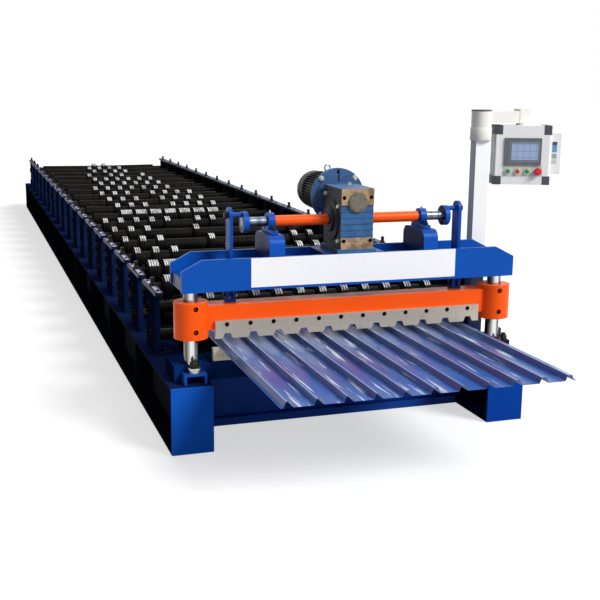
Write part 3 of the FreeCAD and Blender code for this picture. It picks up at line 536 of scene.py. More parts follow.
@dataclass(frozen=True)
class ChromedBar(Finish):
    """Hard chrome that mirrors a workshop: bright and dark bands run down the bar.

    The bands are a painted reflection of a workshop; they follow the way the surface faces,
    so they stay on the bar from every side.
    """

    painted_reflection_bands: tuple[tuple[float, str], ...] = (
        (0.0, "#77746B"), (0.10, "#4B483F"), (0.20, "#8D8B84"), (0.30, "#C9CBCC"), (0.44, "#E9EBEC"),
        (0.56, "#DDE0E3"), (0.64, "#8B9299"), (0.74, "#454C54"), (0.84, "#A7AEB6"), (1.0, "#D5D9DD"))

    def paint(self, graph: Graph) -> Socket:
        """Painted reflection bands by the direction that the surface faces, slightly broken up."""
        stops = [(at, linear(code)) for at, code in self.painted_reflection_bands]
        # Painted reflection: bands by the way the surface faces
        turned = graph.spread(graph.facing(0), -1.0, 1.0)
        painted_reflection_bands = graph.add("ValToRGB", {"stops": stops}, {0: turned}), 0
        soil, size, most = self.soil
        stain = graph.spread(graph.blotches(size, Grain.ALONG_Z, 5.0), 0.5, 0.7, 0.0, most)
        return graph.mix(stain, painted_reflection_bands, soil)


@dataclass(frozen=True)
class FilmedSheet(Finish):
    """Colour coated steel sheet under a thin clear film that clings in patches.

    The film turns the blue to violet and grey where it lifts, in streaks along the travel;
    white streaks on the pans are painted glints, reflections laid into the colour. It lies
    closer towards the free end, so the blue is clearer there. The upper part of each rib's
    flanks takes a plain blue of painted shade, darkest at its lower edge, and the left edge
    of each rib's top carries a thin painted highlight line.
    """

    violet: str = "#4C5290"
    haze: str = "#6587B2"
    painted_glint_white: str = "#E8EEF6"
    rib_shade_foot: str = "#274478"
    rib_shade_head: str = "#3D609E"
    front_blue: str = "#2B62BA"
    rib_highlight_line: str = "#A9BDE2"
    rib_top: float = 0.4945
    line_edge: float = -0.0058

    def paint(self, graph: Graph) -> Socket:
        """Blue with violet and hazy streaks, painted glints, flanks in painted shade and thin painted
        highlight lines.
        """
        colour = super().paint(graph)
        lifted = graph.spread(graph.blotches(120.0, Grain.STREAKED_Y, 3.0), 0.47, 0.64, 0.0, 0.55)
        clouded = graph.spread(graph.blotches(75.0, Grain.STREAKED_Y, 5.0), 0.5, 0.68, 0.0, 0.6)
        settled = graph.spread(graph.place(1), -1.2, -0.75, 0.55, 0.0)
        # Painted glints: white streaks that stand in for reflections
        painted_glints = graph.spread(graph.blotches(24.0, Grain.DRAWN_Y, 3.0), 0.61, 0.69, 0.0, 0.8)
        for share, film in ((lifted, self.violet), (clouded, self.haze), (settled, self.front_blue),
                            (painted_glints, self.painted_glint_white)):
            colour = graph.mix(share, colour, film)
        height = graph.place(2)
        # Painted highlight: a thin bright line on the left edge of each rib's top
        across = graph.math("WRAP", graph.place(0), RIB_PITCH / 2, -RIB_PITCH / 2)
        edge = graph.before(across, self.line_edge - 0.8 * MM, 1.6 * MM, 0.9)
        line = graph.product(edge, graph.past(height, self.rib_top, 0.8 * MM))
        colour = graph.mix(line, colour, self.rib_highlight_line)
        # Painted shade on the rib flanks, darkest at their lower edge
        rise = graph.past(height, self.rib_top - 14 * MM, 5 * MM)
        side = graph.mix(rise, self.rib_shade_foot, self.rib_shade_head)
        painted_side_shade = graph.before(graph.facing(2), 0.6, 0.3, 0.9)
        raised = graph.spread(height, self.rib_top - 14.5 * MM, self.rib_top - 12.5 * MM, 0.25, 1.0)
        return graph.mix(graph.product(painted_side_shade, raised), colour, side)


@dataclass(frozen=True)
class LitScreen(Finish):
    """Glass over a lit panel that shows a plain page: a pale blue field with lighter tiles."""

    tile: str = "#98AAC8"
    tiles_in_metre: float = 30.0
    gap: float = 0.14
    centre: tuple[float, float, float] = (0.0, 0.0, 0.0)
    turn: float = 0.0

    def paint(self, graph: Graph) -> Socket:
        """Pale field with rows of tiles, laid out on the turned box."""
        scale = (self.tiles_in_metre, 1.0, self.tiles_in_metre)
        steps = (("VectorMath", {"operation": "SUBTRACT", 1: self.centre}),
                 ("VectorRotate", {"rotation_type": "Z_AXIS", "Angle": -self.turn}),
                 ("Mapping", {"Scale": scale}), ("VectorMath", {"operation": "FRACTION"}))
        vector: Socket = graph.add("TexCoord"), "Object"
        for kind, settings in steps:
            vector = graph.add(kind, settings, {0: vector}), 0
        parts = graph.add("SeparateXYZ", {}, {0: vector})
        tiles = [graph.math("GREATER_THAN", (parts, axis), self.gap) for axis in (0, 2)]
        return graph.mix(graph.product(*tiles), self.colour, self.tile)


# Sprayed alkyd enamel: smooth and even with a soft gloss, with painted shade: darker on top and dark navy on
# faces that look left
BLUE = Finish(
    "blue_enamel_sprayed", "blue_paint", "#0B53B4", "#0A49A0", roughness=0.38, specular=0.12,
    grain=(4.0, 0.05), dust_and_painted_top_light=("#0B2A62", 0.7), soil=("#0B2F74", 45.0, 0.12), painted_side_shade=("#0A1C4A", 0.93))
# The same enamel on small blocks and rods: bright all round, with a painted highlight that makes it lighter
# on top
BLUE_BRIGHT = Finish(
    "blue_enamel_small_parts", "blue_paint", "#0B4BA6", "#094094", roughness=0.34, specular=0.14,
    grain=(3.0, 0.04), dust_and_painted_top_light=("#2F66BE", 0.35), soil=("#0B2F74", 30.0, 0.15))
# The same enamel low on the base: duller, with specks of dirt, and darker on top as painted shade
BASE_BLUE = Finish(
    "blue_enamel_floor_worn", "blue_paint", "#134AAA", "#0F3E96", (340.0, 0.5), roughness=0.44,
    specular=0.12, grain=(4.0, 0.05), dust_and_painted_top_light=("#0D3070", 0.6), soil=("#0A1F4A", 60.0, 0.2))
# The same enamel behind the posts, in oil and shade
SHADE_BLUE = Finish(
    "blue_enamel_oily_shade", "blue_paint", "#0D2C66", "#0A2048", (120.0, 0.8), roughness=0.5, specular=0.0,
    grain=(4.0, 0.08), dust_and_painted_top_light=("#0B2250", 0.6), soil=("#06101F", 50.0, 0.4), painted_side_shade=("#081228", 0.9))
# Blue enamel over rough plate, darkened as painted shade: duller, with oil mist from the rolls, and darkest
# on faces that look left
NAVY = Finish(
    "blue_enamel_oiled_painted_shade", "dark_blue_paint", "#11244E", "#0C1836", (160.0, 0.8), roughness=0.6,
    specular=0.0, grain=(5.0, 0.12), dust_and_painted_top_light=("#1C2A50", 0.5), soil=("#0A0B10", 26.0, 0.6),
    painted_side_shade=("#0B1026", 0.93))
# Nearly black enamel on what lies in shade: members and tray, and the right stand plates
NIGHT = Finish(
    "black_blue_enamel_oily", "dark_blue_paint", "#0B0F1A", "#11141A", (200.0, 0.8), roughness=0.6,
    specular=0.0, grain=(5.0, 0.12), dust_and_painted_top_light=("#15181E", 0.5), soil=("#1C1710", 50.0, 0.5))
# Strips: dark enamel, top rubbed to a pale lavender line
STRIP_PAINT = RubbedStrip(
    "dark_enamel_strip_rubbed_top", "dark_blue_paint", "#14183A", "#0D1026", (90.0, 0.8), roughness=0.46,
    specular=0.14, grain=(4.0, 0.08), soil=("#0B0D12", 20.0, 0.4))
# Rail and drive guard: the same, with a greyer top
RAIL_PAINT = Finish(
    "dark_enamel_rail_rubbed_top", "dark_blue_paint", "#0F1528", "#0A0D18", (180.0, 0.8), roughness=0.5,
    specular=0.12, grain=(4.0, 0.08), dust_and_painted_top_light=("#6E7F95", 0.9), soil=("#07080C", 40.0, 0.5))
# Dull enamel along the beams, darkened as painted shade, most on the left beam and on the sides, blue on the
# end plates
LEFT_BEAM = BeamPaint(
    "left_beam_enamel_painted_shade", "dark_blue_paint", "#12151F", "#0D0F16", (420.0, 0.8), roughness=0.6,
    specular=0.0, grain=(5.0, 0.1), soil=("#05060A", 80.0, 0.4), painted_side_shade=("#26282E", 0.95), painted_side_shade_both=True)
RIGHT_BEAM = BeamPaint(
    "right_beam_enamel_painted_shade", "blue_paint", "#0E2A66", "#0A1E4C", (420.0, 0.8), roughness=0.55,
    specular=0.0, grain=(5.0, 0.1), soil=("#05060A", 80.0, 0.4), painted_side_shade=("#070C16", 0.93), painted_side_shade_both=True,
    plate="#0E429E", plate_foot_painted_light="#0E3C92", top="#12357C")
# Orange enamel on moving pieces: bright and even, a warning colour
ORANGE = Finish(
    "orange_enamel_sprayed", "orange_paint", "#FF5A0E", "#F8520A", roughness=0.36, specular=0.16,
    grain=(4.0, 0.04), dust_and_painted_top_light=("#FF8A50", 0.3), soil=("#D04A0C", 40.0, 0.1))
# Hard chrome on ground bar: a clear mirror with fine axial bands of painted reflection
CHROME = ChromedBar(
    "hard_chrome_ground_bar", "chrome_bar", "#C4C6C8", "#B9BCBF", (60.0, 0.5), metallic=1.0, roughness=0.2,
    roughness_spread=0.05, grain=(1.2, 0.004), drawn=Grain.ALONG_Z, soil=("#5A564C", 22.0, 0.35))
# Blackened alloy steel rolls, oiled, with turned rings that carry a painted highlight on top only
ROLLS = TurnedRolls(
    "roll_steel_black_oiled", "black_steel", "#0A0A0A", "#1D1915", (45.0, 0.6), metallic=0.05,
    roughness=0.5, roughness_spread=0.1, specular=0.04, grain=(1.6, 0.03), drawn=Grain.ROUND_X)
# Lower rolls of the same steel, with no ring turned bright
LOWER_ROLLS = TurnedRolls(
    "lower_roll_steel_black_oiled", "black_steel", "#0A0A0A", "#1D1915", (60.0, 0.6), metallic=0.25,
    roughness=0.5, roughness_spread=0.1, specular=0.12, grain=(1.6, 0.03), drawn=Grain.ROUND_X,
    axis_height=0.397, bright_from_mm=200.0)
# Black oxide on screws and pins: dull and slightly brown
BLACK_OXIDE = Finish(
    "screw_steel_black_oxide", "black_steel", "#0D0C0A", "#201C16", (18.0, 0.7), metallic=0.6,
    roughness=0.5, grain=(2.0, 0.03))
# Inside of holes, sockets, seams and slots: hardly any light comes back
BORE = Finish(
    "drilled_hole_dark", "black_steel", "#080706", "#0D0B09", (10.0, 0.5), roughness=0.9, specular=0.05,
    grain=(2.0, 0.02))
# Zinc plated hardware: light grey with a slight green cast
ZINC = Finish(
    "hardware_zinc_plated", "bright_steel", "#C4CABF", "#9DA295", (16.0, 0.7), metallic=0.9, roughness=0.36,
    roughness_spread=0.1, grain=(1.5, 0.02))
# Tool steel, surface ground along its length, warm grey with handling stains
BLADE = Finish(
    "tool_steel_surface_ground", "bright_steel", "#BDB3A4", "#A89C8C", (70.0, 0.7), metallic=0.45,
    roughness=0.46, roughness_spread=0.1, grain=(0.9, 0.02), drawn=Grain.ALONG_X,
    soil=("#857868", 26.0, 0.35))
# Turned crank shaft: bright steel with bluish dark stains
TURNED = Finish(
    "shaft_steel_turned", "bright_steel", "#7D8898", "#3C4654", (24.0, 0.8), metallic=0.95, roughness=0.34,
    grain=(1.0, 0.015), drawn=Grain.ROUND_X)
# Sand cast iron under blue paint, with milled pads left bare, and sides painted near black as shade
CASTING = MachinedCasting(
    "cast_iron_painted_milled_pads", "cast_housing", "#3D6A96", "#2F5784", (55.0, 0.8), roughness=0.5,
    specular=0.15, grain=(2.4, 0.25), dust_and_painted_top_light=("#5D6C92", 0.7), soil=("#263C50", 34.0, 0.45),
    painted_side_shade=("#17181B", 0.94), painted_side_shade_both=True)
# Painted cast flange, grimy from oil, with painted shade on faces that look left
FLANGE_PAINT = Finish(
    "cast_flange_painted_grimy", "cast_housing", "#41628F", "#34517C", (60.0, 0.8), roughness=0.45,
    specular=0.16, grain=(2.4, 0.2), dust_and_painted_top_light=("#5470A8", 0.5), soil=("#2C4160", 34.0, 0.5),
    painted_side_shade=("#1E3858", 0.6))
# Turned cover left bare: grey brown iron
RAW_COVER = Finish(
    "cast_iron_turned_bare", "raw_casting", "#726D62", "#5C5850", (20.0, 0.8), metallic=0.3, roughness=0.55,
    grain=(1.5, 0.05), soil=("#5A4E3C", 12.0, 0.5))
# Motor lacquer: thick black gloss on finned aluminium
MOTOR_BLACK = Finish(
    "motor_lacquer_black", "motor_black", "#0C0D0E", "#151617", (50.0, 0.7), roughness=0.45, specular=0.14,
    grain=(2.5, 0.1), dust_and_painted_top_light=("#2C2D2C", 0.35), soil=("#4C4942", 9.0, 0.6))
# White powder coat on sheet steel: even, low gloss, fine peel, with a grey painted shade on faces that look
# left
WHITE = Finish(
    "white_powder_coat", "white_paint", "#F4F4F4", "#EEEEEE", (140.0, 0.5), roughness=0.42, specular=0.3,
    grain=(1.6, 0.03), soil=("#DFDFDC", 50.0, 0.2), painted_side_shade=("#8F9399", 0.9))
# Bare painted sign panel: aluminium with a white baked coat
SIGN = Finish(
    "white_baked_enamel_panel", "white_paint", "#FAF9F8", "#F4F2F2", (180.0, 0.5), roughness=0.3,
    specular=0.3, grain=(2.0, 0.02), soil=("#EAE6E4", 60.0, 0.25))
# Very light powder coat on the post's tube, with a grey painted shade on faces that look left, dark enamel
# at its foot
POST = PostCoat(
    "light_grey_powder_coat", "grey_paint", "#FAFAFA", "#F4F5F5", (200.0, 0.5), roughness=0.4, specular=0.3,
    grain=(1.6, 0.03), soil=("#CFCFCB", 60.0, 0.2), painted_side_shade=("#8C9AA8", 0.85))
# Cream powder coat on the swivel head and arm, with a light grey painted shade on faces that look left
ARM_COAT = Finish(
    "cream_powder_coat", "grey_paint", "#F4F2EC", "#EAE8E1", (120.0, 0.5), roughness=0.4, specular=0.3,
    grain=(1.6, 0.03), soil=("#D2CFC6", 40.0, 0.25), painted_side_shade=("#B9BDBE", 0.5))
# Moulded ABS corners: dark grey, fine spark texture
ABS_GREY = Finish(
    "abs_moulded_dark_grey", "dark_grey_plastic", "#4E535A", "#41464C", (40.0, 0.5), roughness=0.55,
    grain=(0.8, 0.03), ior=1.54, specular=0.2)
# Screen bezel: moulded ABS, mid grey, matt
BEZEL = Finish(
    "abs_moulded_bezel_grey", "screen_plastic", "#6B7078", "#5D626A", (60.0, 0.5), roughness=0.45,
    grain=(0.8, 0.02), ior=1.54, specular=0.2)
# Inner step of the bezel
BEZEL_LIGHT = Finish(
    "abs_moulded_bezel_light", "screen_plastic", "#A3A9B0", "#959BA2", (60.0, 0.5), roughness=0.4,
    grain=(0.8, 0.02), ior=1.54, specular=0.2)
# Glass front over a lit panel with a plain page of tiles
SCREEN = LitScreen(
    "glass_lit_panel", "screen_plastic", "#8296B8", "#90A3C0", (40.0, 0.5), roughness=0.22,
    grain=(4.0, 0.002), specular=0.18, glow=0.14, centre=(1.051, -0.020, 1.4837), turn=math.radians(-20.0))
# Switch plate: brushed light grey laminate
LAMINATE = Finish(
    "laminate_panel_light_grey", "grey_paint", "#CFCFCB", "#C4C4C0", (50.0, 0.5), roughness=0.45,
    grain=(1.0, 0.01), drawn=Grain.ALONG_X, specular=0.2)
# Button caps and sockets: glossy moulded ABS
GREEN_CAP = Finish(
    "abs_moulded_cap_green", "button_plastic", "#1E8F58", "#19774A", (12.0, 0.5), roughness=0.25,
    grain=(0.8, 0.01), ior=1.54, specular=0.3)
RED_CAP = Finish(
    "abs_moulded_cap_red", "button_plastic", "#E02A22", "#CC221B", (12.0, 0.5), roughness=0.25,
    grain=(0.8, 0.01), ior=1.54, specular=0.3)
BLUE_SOCKET = Finish(
    "abs_moulded_socket_blue", "button_plastic", "#5E9CC8", "#4E8CBA", (12.0, 0.5), roughness=0.3,
    grain=(0.8, 0.01), ior=1.54, specular=0.3)
# Coil coated sheet under clear film
SHEET = FilmedSheet(
    "coil_coated_sheet_filmed", "sheet_film", "#3562AC", "#2D5290", (60.0, 0.8), roughness=0.24,
    roughness_spread=0.07, specular=0.22, coat=0.1, grain=(26.0, 0.3), drawn=Grain.ALONG_Y)


@dataclass
class Shape:
    """A mesh being gathered, in metres, in the machine's frame; what adds to it returns it."""

    points: list[Vector] = field(default_factory=list)
    faces: list[tuple[int, ...]] = field(default_factory=list)

    def add(self, points: Iterable[Sequence[float]], faces: Iterable[Sequence[int]],
            place: Matrix | None = None) -> "Shape":
        """Take in a small mesh.

        Args:
            points: Its points.
            faces: Its faces, by point number.
            place: Where it goes.

        Returns:
            This shape.
        """
        start = len(self.points)
        move = place or Matrix.Identity(4)
        self.points.extend(move @ Vector(point) for point in points)
        self.faces.extend(tuple(start + at for at in face) for face in faces)
        return self

    def turned(self, profile: Profile, place: Matrix, segments: int = 32) -> "Shape":
        """Turn a profile about the local Z of a placement; a radius of zero closes an end.

        Args:
            profile: Points as (height, radius).
            place: Placement of the axis.
            segments: Facets round the axis.

        Returns:
            This shape.
        """
        points: list[tuple[float, float, float]] = []
        rows: list[list[int]] = []
        for height, radius in profile:
            if radius < CLOSED:
                rows.append([len(points)])
                points.append((0.0, 0.0, height))
                continue
            rows.append(list(range(len(points), len(points) + segments)))
            for at in range(segments):
                angle = 2 * math.pi * at / segments
                points.append((radius * math.cos(angle), radius * math.sin(angle), height))
        faces: list[tuple[int, ...]] = []
        for low, high in zip(rows, rows[1:]):
            for at in range(segments):
                after = (at + 1) % segments
                if len(low) == 1 and len(high) > 1:
                    faces.append((low[0], high[after], high[at]))
                elif len(high) == 1 and len(low) > 1:
                    faces.append((low[at], low[after], high[0]))
                elif len(low) > 1:
                    faces.append((low[at], low[after], high[after], high[at]))
        return self.add(points, faces, place)

    def block(self, low: Sequence[float], high: Sequence[float], edge: float = 0.0008,
              place: Matrix | None = None) -> "Shape":
        """Add a block with broken edges.

        Args:
            low: Lowest corner.
            high: Highest corner.
            edge: Width of the broken edge.
            place: Where the block goes.

        Returns:
            This shape.
        """
        middle = (Vector(low) + Vector(high)) / 2
        half = (Vector(high) - Vector(low)) / 2
        edge = min(edge, min(half) * 0.45)
        corners = [(x, y, z) for x in SIDES for y in SIDES for z in SIDES]
        points = [middle + Vector([sign * (half[i] - edge * (i != flush)) for i, sign in enumerate(corner)])
                  for corner in corners for flush in range(3)]
        at = {key: number for number, key in enumerate((c, flush) for c in corners for flush in range(3))}
        faces: list[tuple[int, ...]] = []
        for flush in range(3):
            first, second = [i for i in range(3) if i != flush]
            for sign in SIDES:
                ring = []
                for one, two in ((-1, -1), (1, -1), (1, 1), (-1, 1)):
                    corner = [sign, sign, sign]
                    corner[first], corner[second] = one, two
                    ring.append(at[tuple(corner), flush])
                faces.append(tuple(ring))
        for along in range(3):
            first, second = [i for i in range(3) if i != along]
            for one in SIDES:
                for two in SIDES:
                    ends = []
                    for sign in SIDES:
                        corner = [sign, sign, sign]
                        corner[first], corner[second] = one, two
                        ends.append(tuple(corner))
                    start, end = ends
                    faces.append((at[start, first], at[end, first], at[end, second], at[start, second]))
        faces.extend((at[corner, 0], at[corner, 1], at[corner, 2]) for corner in corners)
        return self.add(points, faces, place)

    def hexagons(self, spots: Spots, across: float, height: float, stud: float = 0.0) -> "Shape":
        """Add equal hexagon heads or nuts on thin washers, with a stud through each if asked.

        Args:
            spots: Middle of each seat, and the direction away from it.
            across: Width across the flats.
            height: Height of the head.
            stud: Length of stud that stands out of the head.

        Returns:
            This shape.
        """
        corner = across / math.sqrt(3)
        bolt = across * 0.32
        thick = height * 0.16
        washer = corner * 1.18
        for centre, axis in spots:
            place = axis.at(centre)
            self.turned([(0.0, 0.0), (0.0, corner), (height * 0.86, corner), (height, corner * 0.86),
                         (height, bolt if stud > 0 else 0.0)], place, 6)
            if stud > 0:
                self.turned([(height, bolt), (height + stud * 0.85, bolt), (height + stud, bolt * 0.75),
                             (height + stud, 0.0)], place, 12)
            self.turned([(-0.0002, 0.0), (-0.0002, washer), (thick * 0.7, washer), (thick, washer * 0.95),
                         (thick, corner * 0.8)], place, 20)
        return self

    def socket_heads(self, spots: Spots, radius: float, height: float) -> "Shape":
        """Add equal cap screw heads, each with its hexagon socket.

        Args:
            spots: Middle of each seat, and the direction away from it.
            radius: Radius of the head.
            height: Height of the head.

        Returns:
            This shape.
        """
        for centre, axis in spots:
            place = axis.at(centre)
            self.turned([(0.0, radius), (height * 0.8, radius), (height, radius * 0.88),
                         (height, radius * 0.5)], place, 24)
            self.turned([(height, radius * 0.58), (height, radius * 0.5), (height * 0.3, radius * 0.5),
                         (height * 0.3, 0.0)], place, 6)
        return self

    def strip(self, path: Sequence[Sequence[float]], radius: float, segments: int = 8) -> "Shape":
        """Run a round bead along a path.

        Args:
            path: Points that it follows.
            radius: Radius of the bead.
            segments: Facets round it.

        Returns:
            This shape.
        """
        line = [Vector(point) for point in path]
        points: list[Vector] = []
        for at, point in enumerate(line):
            run = (line[min(at + 1, len(line) - 1)] - line[max(at - 1, 0)]).normalized()
            side = (run.orthogonal() if abs(run.z) > 0.9 else run.cross(Vector((0, 0, 1)))).normalized()
            up = side.cross(run)
            for step in range(segments):
                angle = 2 * math.pi * step / segments
                points.append(point + radius * (math.cos(angle) * side + math.sin(angle) * up))
        faces: list[tuple[int, ...]] = []
        last = (len(line) - 1) * segments
        for low in range(0, last, segments):
            high = low + segments
            for step in range(segments):
                after = (step + 1) % segments
                faces.append((low + step, low + after, high + after, high + step))
        faces.append(tuple(range(segments)))
        faces.append(tuple(reversed(range(last, last + segments))))
        return self.add(points, faces)

    def prism(self, outline: Profile, low: float, high: float, place: Matrix) -> "Shape":
        """Push a flat outline up from one height to another.

        Args:
            outline: Corners as (x, y), counter-clockwise from above.
            low: Lower height.
            high: Upper height.
            place: Where the prism goes.

        Returns:
            This shape.
        """
        count = len(outline)
        points = [(x, y, z) for z in (low, high) for x, y in outline]
        sides = [(at, (at + 1) % count, count + (at + 1) % count, count + at) for at in range(count)]
        ends = [tuple(reversed(range(count))), tuple(range(count, 2 * count))]
        return self.add(points, sides + ends, place)

    def make(self, name: str, finish: Finish, body: str = FIXED) -> bpy.types.Object:
        """Turn the gathered mesh into a piece that rides on a body.

        Args:
            name: Name of the piece.
            finish: Its finish.
            body: CAD body that it moves with.

        Returns:
            The piece.
        """
        mesh = bpy.data.meshes.new(name)
        mesh.from_pydata([tuple(point) for point in self.points], [], self.faces)
        mesh.validate()
        mesh.materials.append(finish.build())
        mesh.polygons.foreach_set("use_smooth", [True] * len(mesh.polygons))
        mesh.set_sharp_from_angle(angle=SMOOTH_BELOW)
        piece = bpy.data.objects.new(name, mesh)
        bpy.context.scene.collection.objects.link(piece)
        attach(piece, body)
        log.info("piece %s: %d faces, %s, rides on %s", name, len(mesh.polygons), finish.name, body)
        return piece


def dress(finish: Finish, edge_mm: float, *nodes: str) -> None:
    """Give CAD nodes their finish and broken edges.

    Args:
        finish: Their finish.
        edge_mm: Width of the broken edges; zero leaves the edges as they are.
        nodes: Names of the nodes.
    """
    for node in nodes:
        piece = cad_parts[node]
        material = finish.build()
        if not piece.material_slots:
            piece.data.materials.append(material)
        for slot in piece.material_slots:
            slot.link = "OBJECT"
            slot.material = material
        if edge_mm > 0:
            weld = piece.modifiers.new("joined_corners", "WELD")
            weld.merge_threshold = JOIN_REACH
            bevel = piece.modifiers.new("broken_edges", "BEVEL")
            bevel.width = edge_mm * MM
            bevel.segments = 2
            bevel.limit_method = "ANGLE"
            bevel.angle_limit = BREAK_ABOVE
            bevel.use_clamp_overlap = True
            smooth = piece.modifiers.new("even_shading", "WEIGHTED_NORMAL")
            smooth.keep_sharp = False
            smooth.weight = 60
        log.info("node %s: %s", node, finish.name)


@dataclass
class Studio:
    """Camera, lamps, pale floor and white surroundings."""

    place: tuple[float, float, float] = (-1.777, -4.758, 1.693)
    right: tuple[float, float, float] = (0.94772337, -0.31893702, 0.00997982)
    down: tuple[float, float, float] = (-0.05795425, -0.20279839, -0.97750402)
    forward: tuple[float, float, float] = (0.31378611, 0.92582503, -0.21068053)
    lens: float = 60.66
    ambient: float = 0.34
    key: float = 3.2
    floor_glow: float = 0.6
    floor_reach: float = 45.0

    def camera(self) -> None:
        """Stand the camera where the photograph was taken from."""
        data = bpy.data.cameras.new("viewpoint")
        data.lens = self.lens
        data.sensor_width = 36.0
        data.clip_end = 200.0
        camera = bpy.data.objects.new("viewpoint", data)
        columns = Matrix((self.right, [-part for part in self.down], [-part for part in self.forward]))
        camera.matrix_world = Matrix.Translation(Vector(self.place)) @ columns.transposed().to_4x4()
        bpy.context.scene.collection.objects.link(camera)
        bpy.context.scene.camera = camera

    def lamp(self, name: str, kind: str, place: Sequence[float], target: Sequence[float],
             **settings: Any) -> None:
        """Hang one lamp.

        Args:
            name: Its name.
            kind: Blender's kind of lamp.
            place: Where it hangs.
            target: Point that it faces.
            settings: Strength and size.
        """
        data = bpy.data.lights.new(name, kind)
        for key, value in settings.items():
            setattr(data, key, value)
        lamp = bpy.data.objects.new(name, data)
        lamp.location = place
        lamp.rotation_mode = "QUATERNION"
        lamp.rotation_quaternion = (Vector(target) - Vector(place)).to_track_quat("-Z", "Y")
        bpy.context.scene.collection.objects.link(lamp)

    def shown(self, graph: Graph, hidden: float, seen: float) -> Socket:
        """One strength for rays that show the surroundings, and another for those that light.

        Args:
            graph: Node tree of the world or floor.
            hidden: Strength for rays that only light the machine.
            seen: Strength for rays seen, mirrored or through glass.

        Returns:
            Node and output of the strength.
        """
        path = graph.add("LightPath")
        first = graph.math("MAXIMUM", (path, "Is Camera Ray"), (path, "Is Glossy Ray"))
        ray = graph.math("MAXIMUM", first, (path, "Is Transmission Ray"))
        return graph.add("MapRange", {"To Min": hidden, "To Max": seen}, {"Value": ray}), 0

    def surroundings(self) -> None:
        """White all round to the eye, and a lower even light on the machine."""
        world = bpy.data.worlds.new("white_room")
        bpy.context.scene.world = world
        graph = Graph(world)
        strength = self.shown(graph, self.ambient, 1.0)
        light = graph.add("Background", {"Color": FULL_WHITE}, {"Strength": strength})
        graph.add("OutputWorld", {}, {"Surface": (light, 0)})

    def floor(self) -> None:
        """Plain pale floor that keeps the machine's shadow."""
        mesh = bpy.data.meshes.new("pale_floor")
        reach = self.floor_reach
        mesh.from_pydata([(-reach, -reach, 0), (reach, -reach, 0), (reach, reach, 0), (-reach, reach, 0)],
                         [], [(0, 1, 2, 3)])
        floor = bpy.data.objects.new("pale_floor", mesh)
        floor.location = (0.0, 5.0, -0.0005)
        bpy.context.scene.collection.objects.link(floor)
        material = bpy.data.materials.new("pale_floor_sealed_concrete")
        graph = Graph(material)
        matt = graph.add("BsdfDiffuse", {"Color": linear("#BDBDBD")})
        strength = self.shown(graph, 0.0, self.floor_glow)
        glow = graph.add("Emission", {"Color": FULL_WHITE}, {"Strength": strength})
        both = graph.add("AddShader", {}, {0: (matt, 0), 1: (glow, 0)})
        graph.add("OutputMaterial", {}, {"Surface": (both, 0)})
        mesh.materials.append(material)

    def build(self) -> None:
        """Set the whole studio up."""
        bpy.context.scene.view_settings.view_transform = "Standard"
        self.camera()
        self.surroundings()
        self.floor()
        self.lamp("key_lamp", "SUN", (5.0, -6.0, 6.5), (0.0, 0.0, 0.3), energy=self.key,
                  angle=math.radians(24))
        self.lamp("top_lamp", "AREA", (1.0, 2.5, 4.6), (0.0, 2.0, 0.5), energy=60.0, shape="RECTANGLE",
                  size=1.2, size_y=6.0)
        log.info("studio: camera, floor, surroundings and lamps")


@dataclass
class BaseFrame:
    """Two rolled beams on the floor with the members and the tray between them."""

    weld_x: float = 0.713
    weld_radius: float = 0.004
    web_back: float = 0.040

    def build(self) -> None:
        """Paint the beams and members, and lay weld beads where the front member meets the beams."""
        dress(LEFT_BEAM, 1.5, "left_base_beam")
        dress(RIGHT_BEAM, 1.5, "right_base_beam")
        dress(BASE_BLUE, 1.5, "front_cross_member")
        dress(NIGHT, 1.5, "base_cross_members")
        low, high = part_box("front_cross_member")
        web = low.y + self.web_back
        beads = Shape()
        for x in (-self.weld_x, self.weld_x):
            path = [(x, web, 0.045), (x, web - 0.001, 0.18), (x, web, high.z - 0.004)]
            beads.strip(path, self.weld_radius)
        beads.make("front_member_weld_beads", BASE_BLUE)


